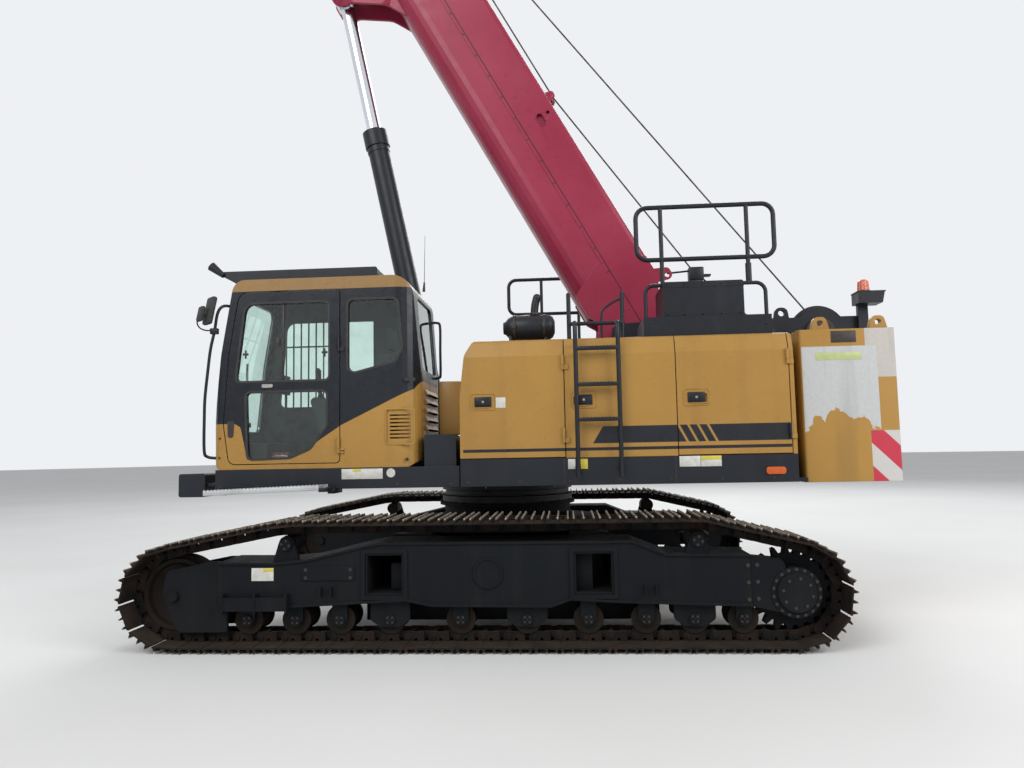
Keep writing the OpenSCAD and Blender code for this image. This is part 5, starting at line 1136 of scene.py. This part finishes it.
for x in (-0.445, -0.190):
    bar_into(cleaner_bands, (x, cleaner_y, cleaner_z), (x + 0.022, cleaner_y, cleaner_z), 0.1145, 40)
    box_into(cleaner_bands, (x - 0.004, 1.207, 2.49), (x + 0.026, 1.224, 2.53), 0.003)
bar_into(cleaner_bands, (-0.352, cleaner_y, 2.622), (-0.352, cleaner_y, 2.640), 0.046, 24)
add_piece("cleaner_bands", cleaner_bands, dark_bolt, "upper")

# Beacon: domed amber lens with fine ribs on a black base, over the flared box with its lid and
# bolts.
beacon_x, beacon_y = -3.38, 0.4603
beacon_lens = bmesh.new()
for (x0, y0), (x1, y1) in zip(ring_of(24, 0.051), ring_of(24, 0.044)):
    bar_into(beacon_lens, (beacon_x + x0, beacon_y + y0, 2.868), (beacon_x + x1, beacon_y + y1, 2.952), 0.0028, 6)
for low, high, foot, top in ((2.866, 2.9535, 0.0522, 0.0446), (2.953, 2.968, 0.0446, 0.030),
                             (2.9675, 2.973, 0.030, 0.012)):
    bar_into(beacon_lens, (beacon_x, beacon_y, low), (beacon_x, beacon_y, high), foot, 32, top)
add_piece("beacon_lens", beacon_lens, lens_orange, "upper")
beacon_base = bmesh.new()
bar_into(beacon_base, (beacon_x, beacon_y, 2.849), (beacon_x, beacon_y, 2.866), 0.058, 32)
box_into(beacon_base, (-3.548, 0.372, 2.842), (-3.294, 0.549, 2.853), 0.003)
for x in (-3.50, -3.33):
    bolt_into(beacon_base, (x, 0.5453, 2.79), (0, 1, 0), 0.006)
add_piece("beacon_base", beacon_base, dark_bolt, "upper")

# Winches: turned steel drums filled with three layers of wire rope; the flanges are plate with a
# bolt ring, and the planetary drive's cover stands outside the left web.
winch_steel = wear_paint("winch_steel", (0.010, 0.010, 0.012, 1), (0.020, 0.019, 0.018, 1), gloss=0.45, dust=0.25,
                         chips=0.4)
finish_nodes(winch_steel, "winch_main", "winch_aux", "head_sheaves")
rope_wire = Finish("rope_wire")
rope_grease = rope_wire.ramp(rope_wire.noise(14, 5), 0.4, 0.65)
rope_wire.set(colour=rope_wire.mix(rope_grease, (0.085, 0.080, 0.072, 1), (0.030, 0.026, 0.022, 1)), metallic=0.6,
              roughness=rope_wire.ramp(rope_grease, 0, 1, 0.42, 0.6),
              normal=rope_wire.bump(rope_wire.noise(300, 2), 0.3, 0.001))
# Columns: name, x, z, radius of the rope's outer layer, flange radius
winches = [("winch_main", -2.994, 2.500, 0.150, 0.265), ("winch_aux", -2.505, 2.450, 0.168, 0.210)]
rope_size, drum_width = 0.016, 0.600
for name, x, z, layer, flange in winches:
    turns = bmesh.new()
    width = drum_width / round(drum_width / rope_size)
    profile = [(-drum_width / 2, 0.12)]
    for start in evenly(-drum_width / 2, width, round(drum_width / rope_size)):
        for step, rise in ((0.0, 0.0), (0.25, 0.85), (0.5, 1.0), (0.75, 0.85)):
            profile.append((start + step * width, layer - rope_size / 2 * (1 - rise)))
    profile.append((drum_width / 2, 0.12))
    verts = [turns.verts.new((x, y, z + height)) for y, height in profile]
    edges = [turns.edges.new(pair) for pair in zip(verts, verts[1:])]
    bmesh.ops.spin(turns, geom=verts + edges, cent=(x, 0, z), axis=(0, 1, 0), angle=2 * math.pi, steps=48,
                   use_merge=True)
    add_piece(name + "_rope", turns, rope_wire, "upper")
    cover = bmesh.new()
    for side in (-1, 1):
        face = side * 0.325
        for along, rise in ring_of(16, flange - 0.022):
            bolt_into(cover, (x + along, face - side * 0.020, z + rise), (0, -side, 0), 0.008)
    bar_into(cover, (x, 0.3755, z), (x, 0.412, z), flange * 0.55, 40, flange * 0.50)
    for along, rise in ring_of(10, flange * 0.42):
        bolt_into(cover, (x + along, 0.412, z + rise), (0, 1, 0), 0.007)
    add_piece(name + "_cover", cover, dark_bolt, "upper")

# Counterweight: cast block in body yellow. A pale film on its left side has torn along its lower
# edge, the paint behind it is bleached, and the rear corner carries red and white bars.
# Columns: place along the machine, height of the film's torn edge
weight_tear = [(-3.12, 1.58), (-3.04, 1.58), (-2.96, 1.66), (-2.88, 1.64), (-2.80, 1.70), (-2.75, 1.76),
               (-2.70, 1.73),
               (-2.66, 1.62), (-2.59, 1.70), (-2.56, 1.60), (-2.48, 1.55)]


def weight_fields(paint, base, place):
    left = paint.ramp(place[1], 1.30, 1.31)
    tear = paint.math("ADD", paint.ramp(paint.noise(11, 6, 0.62), 0.3, 0.7, -0.055, 0.055),
                      curve_height(paint, place[0], weight_tear))
    film = paint.math("MULTIPLY", paint.ramp(paint.math("SUBTRACT", place[2], tear), -0.002, 0.002),
                      paint.math("MULTIPLY", paint.ramp(place[0], -3.092, -3.088), paint.ramp(place[2], 2.242, 2.238)))
    film = paint.math("MULTIPLY", film, paint.ramp(place[0], -2.500, -2.504))
    bleached = paint.math("MULTIPLY", paint.ramp(place[0], -3.0, -3.004),
                          paint.ramp(place[2], 1.984, 1.988))
    pale = paint.math("MAXIMUM", film, paint.math("MULTIPLY", bleached, 0.8))
    shade = paint.mix(paint.noise(30, 6), (0.50, 0.51, 0.52, 1), (0.40, 0.40, 0.39, 1))
    base = paint.mix(paint.math("MULTIPLY", pale, left), base, shade)
    slanted = paint.math("SUBTRACT", paint.math("SUBTRACT", place[2], place[0]), 4.098)
    slanted = paint.math("FRACT", paint.math("DIVIDE", slanted, 0.376))
    red = paint.ramp(slanted, 0.53, 0.51)
    bars = paint.mix(red, (0.50, 0.48, 0.46, 1), (0.46, 0.035, 0.060, 1))
    corner = paint.both(paint.ramp(place[0], -3.008, -3.012), paint.ramp(place[2], 1.562, 1.558))
    sides = paint.ramp(paint.math("ABSOLUTE", place[1]), 1.10, 1.105)
    return paint.mix(paint.math("MULTIPLY", corner, sides), base, bars)


weight_paint = wear_paint("weight_paint", yellow_paint, yellow_faded, gloss=0.34, dust=0.3, chips=0.3,
                          pattern=weight_fields)
finish_nodes(weight_paint, "counterweight")


def eye_into(shape, outline, centre, radius, y0, y1):
    """Plate with a round eye: its outline in X and Z, the eye's centre and radius, from y0 to y1."""
    centre = Vector(centre)
    eye = [centre + (place - centre).normalized() * radius for place in outline]
    lines = ((outline, y0), (outline, y1), (eye, y1), (eye, y0))
    loft_into(shape, [[(place.x, y, place.y) for place in line] for line, y in lines], closed=True)


weight = bmesh.new()
slab_edge = [(-weight_face, 1.16), (weight_face, 1.16), (weight_face, 2.38), (0.43, 2.38), (0.43, 1.96),
             (-0.43, 1.96), (-0.43, 2.38), (-weight_face, 2.38)]
push_face(weight, weight.faces.new([weight.verts.new((-2.49, y, z)) for y, z in slab_edge]), (-0.75, 0, 0))
bmesh.ops.recalc_face_normals(weight, faces=weight.faces)
under = next(face for face in weight.faces if face.normal.z < -0.9 and face.calc_center_median().z < 1.2)
bmesh.ops.inset_region(weight, faces=[under], thickness=0.17)
push_face(weight, under, (0, 0, 0.50))
corner_edges = []
for edge in weight.edges:
    start, end = (vert.co for vert in edge.verts)
    if min(abs(start.y), abs(end.y)) > weight_face - 0.001 and abs(start.z - end.z) > 0.3:
        corner_edges.append(edge)
bmesh.ops.bevel(weight, geom=corner_edges, offset=0.022, offset_type="OFFSET", segments=3, profile=0.5,
                affect="EDGES", material=-1)
for y in (-1.28, 1.22):
    for x in (-3.162, -2.700):
        eye_into(weight, rounded([(x - 0.078, 2.375, 0.004), (x + 0.078, 2.375, 0.004), (x + 0.046, 2.500, 0.042),
                                  (x - 0.046, 2.500, 0.042)]), (x, 2.446), 0.027, y, y + 0.060)
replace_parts(add_piece("weight_block", weight, weight_paint, "upper"), "counterweight")
weight_bolts = bmesh.new()
for y in (-0.9, -0.5, 0.5, 0.9):
    for z in (1.35, 1.80):
        bolt_into(weight_bolts, (-3.240, y, z), (-1, 0, 0), 0.022)
add_piece("weight_bolts", weight_bolts, dark_bolt, "upper")

# Boom: crimson paint, glossy on top of orange peel. Down each side runs a welded strip with bolt
# pairs; the window in the base section has a rim, and the collars carry wear pad adjusters.
def on_boom(s, y, t):
    """Place on the boom from the distance along it and out of it."""
    cos, sin = math.cos(boom_angle), math.sin(boom_angle)
    return Vector((boom_pin[0] + s * cos - t * sin, y, boom_pin[1] + s * sin + t * cos))


def boom_fields(paint, base, place):
    """Dark line of sealant along the upper edge of the side strips."""
    ahead, above = (paint.math("SUBTRACT", place[axis], pin) for axis, pin in ((0, boom_pin[0]), (2, boom_pin[1])))
    out = paint.math("ADD", paint.math("MULTIPLY", ahead, -math.sin(boom_angle)),
                     paint.math("MULTIPLY", above, math.cos(boom_angle)))
    near = paint.math("ABSOLUTE", paint.math("SUBTRACT", out, 0.600))
    seam = paint.both(paint.ramp(near, 0.007, 0.003), paint.ramp(paint.math("ABSOLUTE", place[1]), 0.2785, 0.2795))
    return paint.mix(seam, base, (0.035, 0.008, 0.012, 1))


boom_red = wear_paint("boom_red", (0.245, 0.014, 0.042, 1), (0.30, 0.030, 0.066, 1), gloss=0.30, dust=0.12,
                      chips=0.08, pattern=boom_fields, streak=0.14)
finish_nodes(boom_red, "boom_base", "boom_tele_1", "boom_tele_2", "boom_tele_3")


def to_boom(shape):
    """Turns a shape drawn with X along the boom and Z out of it into place."""
    bmesh.ops.transform(shape, verts=shape.verts, matrix=Matrix.Translation(on_boom(0, 0, 0))
                        @ Matrix.Rotation(-boom_angle, 4, "Y"))


# The base section is the solid's own tube with new foot plates: the solid's plates and the arms at
# its tail come off, the openings they leave are filled, and plates with the real outline go on.
base_section = bmesh.new()
base_section.from_mesh(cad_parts["boom_base"].data)
bmesh.ops.remove_doubles(base_section, verts=base_section.verts, dist=0.00001)
bmesh.ops.transform(base_section, verts=base_section.verts, matrix=Matrix.Rotation(boom_angle, 4, "Y")
                    @ Matrix.Translation(-on_boom(0, 0, 0)))
base_section.normal_update()
side_wall = 0.280
taken_off = []
for face in base_section.faces:
    s, y, t = face.calc_center_median()
    outside = abs(y) > side_wall + 0.0005 or (abs(y) > side_wall - 0.0005 and face.normal.y * y < -0.1)
    if (s < 1.75 and outside) or (s < 1.2 and t > 0.9805):
        taken_off.append(face)
bmesh.ops.delete(base_section, geom=taken_off, context="FACES")
bmesh.ops.holes_fill(base_section, edges=[edge for edge in base_section.edges if edge.is_boundary], sides=0)
foot_plate = rounded([(-0.150, -0.090, 0.110), (0.140, -0.100, 0.060), (0.340, 0.165, 0.040), (0.465, 0.245, 0.020),
                      (0.560, 0.188, 0.015), (0.800, 0.186, 0.020), (1.000, 0.580, 0.080), (0.800, 0.974, 0.020),
                      (0.560, 0.974, 0.040), (0.230, 0.780, 0.060), (-0.150, 0.330, 0.100)])
tail_eye = rounded([(0.560, 0.972, 0.004), (0.720, 0.972, 0.004), (0.630, 1.172, 0.050), (0.505, 1.172, 0.050)])
for side in (-1, 1):
    plate_into(base_section, foot_plate, side * 0.250, side * 0.283)
    bar_into(base_section, (0, side * 0.250, 0), (0, side * 0.3395, 0), 0.120, 40)
    low_y, high_y = sorted((side * 0.279, side * 0.285))
    box_into(base_section, (0.95, low_y, 0.565), (1.48, high_y, 0.595))
eye_into(base_section, tail_eye, (0.567, 1.118), 0.024, -0.032, -0.008)
to_boom(base_section)
base_piece = add_piece("boom_base_section", base_section, boom_red, "boom")
for face in base_piece.data.polygons:
    face.use_smooth = face.area < 0.004
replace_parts(base_piece, "boom_base")
tail_guide = bmesh.new()
bar_into(tail_guide, (-1.655, -0.020, 3.205), (-1.880, -0.020, 3.222), 0.010, 12)
box_into(tail_guide, (-2.014, -0.075, 3.115), (-1.865, 0.035, 3.255), 0.014)
box_into(tail_guide, (-2.085, -0.060, 3.160), (-2.008, 0.020, 3.180), 0.006)
add_piece("tail_guide", tail_guide, deck_black, "boom")
boom_bolts = bmesh.new()
for side in (-1, 1):
    for index in range(31):
        s = 0.85 + index * 0.26
        for t in (0.5725, 0.5875):
            bolt_into(boom_bolts, (s, side * 0.284, t), (0, side, 0), 0.0045)
    for s in (9.02, 9.08, 9.13):
        for t in (0.30, 0.45, 0.70, 0.85):
            bolt_into(boom_bolts, (s, side * 0.305, t), (0, side, 0), 0.010)
    for along, rise in ring_of(8, 0.098):
        bolt_into(boom_bolts, (along, side * 0.3105, rise), (0, side, 0), 0.008)
    bar_into(boom_bolts, (4.86, side * 0.205, -0.26), (4.86, side * 0.214, -0.26), 0.052, 32)
    for along, rise in ring_of(4, 0.058):
        bolt_into(boom_bolts, (4.86 + along, side * 0.205, -0.26 + rise), (0, side, 0), 0.006)
to_boom(boom_bolts)
add_piece("boom_bolts", boom_bolts, dark_bolt, "boom")
window_rim = bmesh.new()
for side in (-1, 1):
    seal_into(window_rim, corners_of(2.455, 0.768, 2.585, 0.832, 0.031),
              side * 0.270, side * 0.2845, 0.010, 0.001)
to_boom(window_rim)
add_piece("boom_window_rim", window_rim, boom_red, "boom")
boom_pads = bmesh.new()
for side in (-1, 1):
    for s in (9.06, 9.10):
        bar_into(boom_pads, (s, side * 0.150, 1.004), (s, side * 0.150, 1.030), 0.014, 6)
        bar_into(boom_pads, (s, side * 0.150, 1.004), (s, side * 0.150, 1.050), 0.008, 10)
to_boom(boom_pads)
add_piece("boom_pad_screws", boom_pads, bright_bolt, "boom")

# Boom head: pins with keeper plates, rope guards over the sheaves and the hoist limit switch.
head_fittings = bmesh.new()
for side in (-1, 1):
    for s, t in ((10.2, -0.02), (10.0, 1.01)):
        bar_into(head_fittings, (s, side * 0.190, t), (s, side * 0.198, t), 0.040, 24)
        box_into(head_fittings, (s - 0.07, min(side * 0.180, side * 0.190), t - 0.062),
                 (s + 0.07, max(side * 0.180, side * 0.190), t - 0.036), 0.002)
    for s, t in ((10.36, 0.02), (10.06, 0.10), (10.12, 1.06)):
        bolt_into(head_fittings, (s, side * 0.180, t), (0, side, 0), 0.012)
for s, t in ((10.20, 0.195), (10.405, -0.02), (10.0, 1.145)):
    bar_into(head_fittings, (s, -0.150, t), (s, 0.150, t), 0.009, 10)
box_into(head_fittings, (10.10, -0.215, 0.16), (10.22, -0.182, 0.24), 0.006)
to_boom(head_fittings)
add_piece("head_fittings", head_fittings, dark_bolt, "tele_3")

# Luffing cylinder: black barrel with a bolted gland and a wiper ring, a holding valve at its foot
# and a steel pipe in clamps along its right side; the rod is hard chrome, clean and bright.
def on_cylinder(along, y, out):
    foot, pin = Vector((cylinder_pin[0], 0, cylinder_pin[1])), on_boom(4.86, 0, -0.26)
    run = (pin - foot).normalized()
    return foot + run * along + Vector((0, y, 0)) + Vector((run.z, 0, -run.x)) * out


chrome = Finish("chrome_rod")
rod_film = chrome.ramp(chrome.noise(3, 5, stretch=(1, 1, 0.3)), 0.35, 0.7)
chrome.set(colour=chrome.mix(rod_film, (0.72, 0.74, 0.77, 1), (0.55, 0.58, 0.63, 1)), metallic=1.0,
           roughness=chrome.ramp(rod_film, 0, 1, 0.10, 0.24), normal=chrome.bump(chrome.noise(200, 2), 0.05, 0.0005))
finish_nodes(chrome, "luff_rod")
gland = bmesh.new()
gland_face, gland_back = on_cylinder(3.380, 0, 0), on_cylinder(3.210, 0, 0)
bar_into(gland, gland_face, on_cylinder(3.398, 0, 0), 0.098, 40, 0.086)
for y, out in ring_of(12, 0.112):
    bolt_into(gland, on_cylinder(3.380, y, out), gland_face - gland_back, 0.009)
bar_into(gland, on_cylinder(3.150, 0, 0), on_cylinder(3.215, 0, 0), 0.116, 40)
bar_into(gland, on_cylinder(0.30, -0.130, 0), on_cylinder(3.26, -0.130, 0), 0.012, 12)
for along in (0.45, 1.15, 1.85, 2.55, 3.05):
    bar_into(gland, on_cylinder(along, -0.100, 0), on_cylinder(along, -0.150, 0), 0.020, 10)
bar_into(gland, on_cylinder(0.18, -0.06, 0.125), on_cylinder(0.18, 0.06, 0.125), 0.045, 16)
bar_into(gland, on_cylinder(0.12, 0, 0.125), on_cylinder(0.30, 0, 0.125), 0.038, 8)
add_piece("cylinder_fittings", gland, deck_black, "luff_barrel")
rod_seal = bmesh.new()
bar_into(rod_seal, on_cylinder(3.396, 0, 0), on_cylinder(3.408, 0, 0), 0.084, 40, 0.077)
add_piece("rod_wiper", rod_seal, rubber, "luff_barrel")

# Hook block: yellow side plates over the sheaves, a dark forged hook on a thrust bearing with a
# spring latch, bolts at the plates' corners; the falls are greased wire rope.
def hook_fields(paint, base, place):
    steel = paint.ramp(place[2], 9.930, 9.932)
    base = paint.mix(steel, base, (0.060, 0.055, 0.048, 1))
    forged = paint.ramp(place[2], 9.486, 9.484)
    return paint.mix(forged, base, (0.030, 0.020, 0.018, 1))


hook_paint = wear_paint("hook_paint", yellow_paint, yellow_faded, gloss=0.34, dust=0.25, chips=0.4,
                        pattern=hook_fields)
finish_nodes(hook_paint, "hook_block")
sheave_axle = on_boom(10.2, 0, -0.02)
hook_x, hook_z = sheave_axle.x, sheave_axle.z - 1.35
hook_fittings = bmesh.new()
for side in (-1, 1):
    for x, z in ((-0.15, 0.05), (0.15, 0.05), (-0.08, -0.19), (0.08, -0.19)):
        bolt_into(hook_fittings, (hook_x + x, side * 0.115, hook_z + z), (0, side, 0), 0.014)
    bar_into(hook_fittings, (hook_x, side * 0.115, hook_z), (hook_x, side * 0.128, hook_z), 0.052, 24)
bar_into(hook_fittings, (hook_x, 0, hook_z - 0.262), (hook_x, 0, hook_z - 0.300), 0.068, 32)
bar_into(hook_fittings, (hook_x, 0, hook_z - 0.300), (hook_x, 0, hook_z - 0.325), 0.050, 6)
add_piece("hook_fittings", hook_fittings, dark_bolt, "hook")
hook_latch = bmesh.new()
bar_into(hook_latch, (hook_x + 0.010, 0, hook_z - 0.355), (hook_x + 0.085, 0, hook_z - 0.425), 0.010, 10)
bar_into(hook_latch, (hook_x + 0.012, -0.030, hook_z - 0.357), (hook_x + 0.012, 0.030, hook_z - 0.357), 0.008, 10)
add_piece("hook_latch", hook_latch, bright_bolt, "hook")

# Wire ropes: six-strand rope of 16 mm. One leads from the front winch over the roller at the
# boom's tail and along its top guides, the other straight from the rear winch to a guide on the
# boom; both go on to the sheaves in the head, in stretches that slide out with the sections.
def rope_into(shape, start, end):
    """Stranded rope between two points: a lobed ring screwed along its line."""
    start, end = Vector(start), Vector(end)
    ahead = (end - start).normalized()
    across = ahead.orthogonal().normalized()
    other = ahead.cross(across)
    verts = []
    for index in range(12):
        turn = 2 * math.pi * index / 12
        radius = 0.0085 if index % 2 else 0.0066
        verts.append(shape.verts.new(start + across * radius * math.cos(turn) + other * radius * math.sin(turn)))
    edges = [shape.edges.new(pair) for pair in zip(verts, verts[1:] + verts[:1])]
    steps = max(4, round((end - start).length / 0.012))
    bmesh.ops.spin(shape, geom=verts + edges, cent=start, axis=ahead, dvec=(end - start) / steps,
                   angle=steps * math.radians(36), steps=steps, use_merge=False)


def off_drum(x, z, radius, place):
    """Where the rope to a place leaves a drum's rear upper side."""
    away = Vector((place.x - x, 0, place.z - z))
    turn = math.atan2(away.z, away.x) + math.acos(radius / away.length)
    return Vector((x + radius * math.cos(turn), place.y, z + radius * math.sin(turn)))


lead_s, aux_y, main_y, guide_rise, head_rise = 5.86, -0.020, 0.045, 1.085, 1.122
lead_roller = on_boom(lead_s, main_y, 1.100)
lead_cheek = rounded([(5.78, 0.979, 0.004), (5.94, 0.979, 0.004), (5.89, 1.105, 0.03), (5.83, 1.105, 0.03)])
rope_lead = bmesh.new()
for y in (0.020, 0.062):
    plate_into(rope_lead, lead_cheek, y, y + 0.008)
    bar_into(rope_lead, (lead_s, y - 0.004, 1.068), (lead_s, y + 0.012, 1.068), 0.014, 16)
bar_into(rope_lead, (lead_s, 0.028, 1.068), (lead_s, 0.062, 1.068), 0.032, 24)
to_boom(rope_lead)
add_piece("rope_lead", rope_lead, boom_red, "boom")
tail_roller, aux_guide = on_boom(0.493, aux_y, 1.359), on_boom(2.770, aux_y, guide_rise)
drums = {name: (x, z, layer) for name, x, z, layer, *_ in winches}
# Columns: place along the boom, body up to there
head_stops = [(8.300, "boom"), (9.230, "tele_1"), (9.460, "tele_2"), (9.920, "tele_3")]
base_end, head_end = head_stops[0][0], head_stops[-1][0]
# Columns: name, start, end, body at the start, body at the end
rope_runs = [
    ["rope_aux_drum", off_drum(*drums["winch_aux"], tail_roller), tail_roller, "upper", "boom"],
    ["rope_aux_tail", tail_roller, aux_guide, "boom", "boom"],
    ["rope_aux_top", aux_guide, on_boom(base_end, aux_y, guide_rise), "boom", "boom"],
    ["rope_main_drum", off_drum(*drums["winch_main"], lead_roller), lead_roller, "upper", "boom"],
    ["rope_main_top", lead_roller, on_boom(base_end, main_y, guide_rise), "boom", "boom"],
]
for word, y in (("aux", aux_y), ("main", main_y)):
    for (s0, body0), (s1, body1) in zip(head_stops, head_stops[1:]):
        t0, t1 = (guide_rise + (head_rise - guide_rise) * (s - base_end) / (head_end - base_end) for s in (s0, s1))
        rope_runs.append(["rope_" + word + "_" + body1, on_boom(s0, y, t0), on_boom(s1, y, t1), body0, body1])
for name, start, end, from_body, to_body in rope_runs:
    rope = bmesh.new()
    rope_into(rope, start, end)
    piece = add_piece(name, rope, rope_wire, None if from_body != to_body else from_body)
    if from_body != to_body:
        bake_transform(piece)
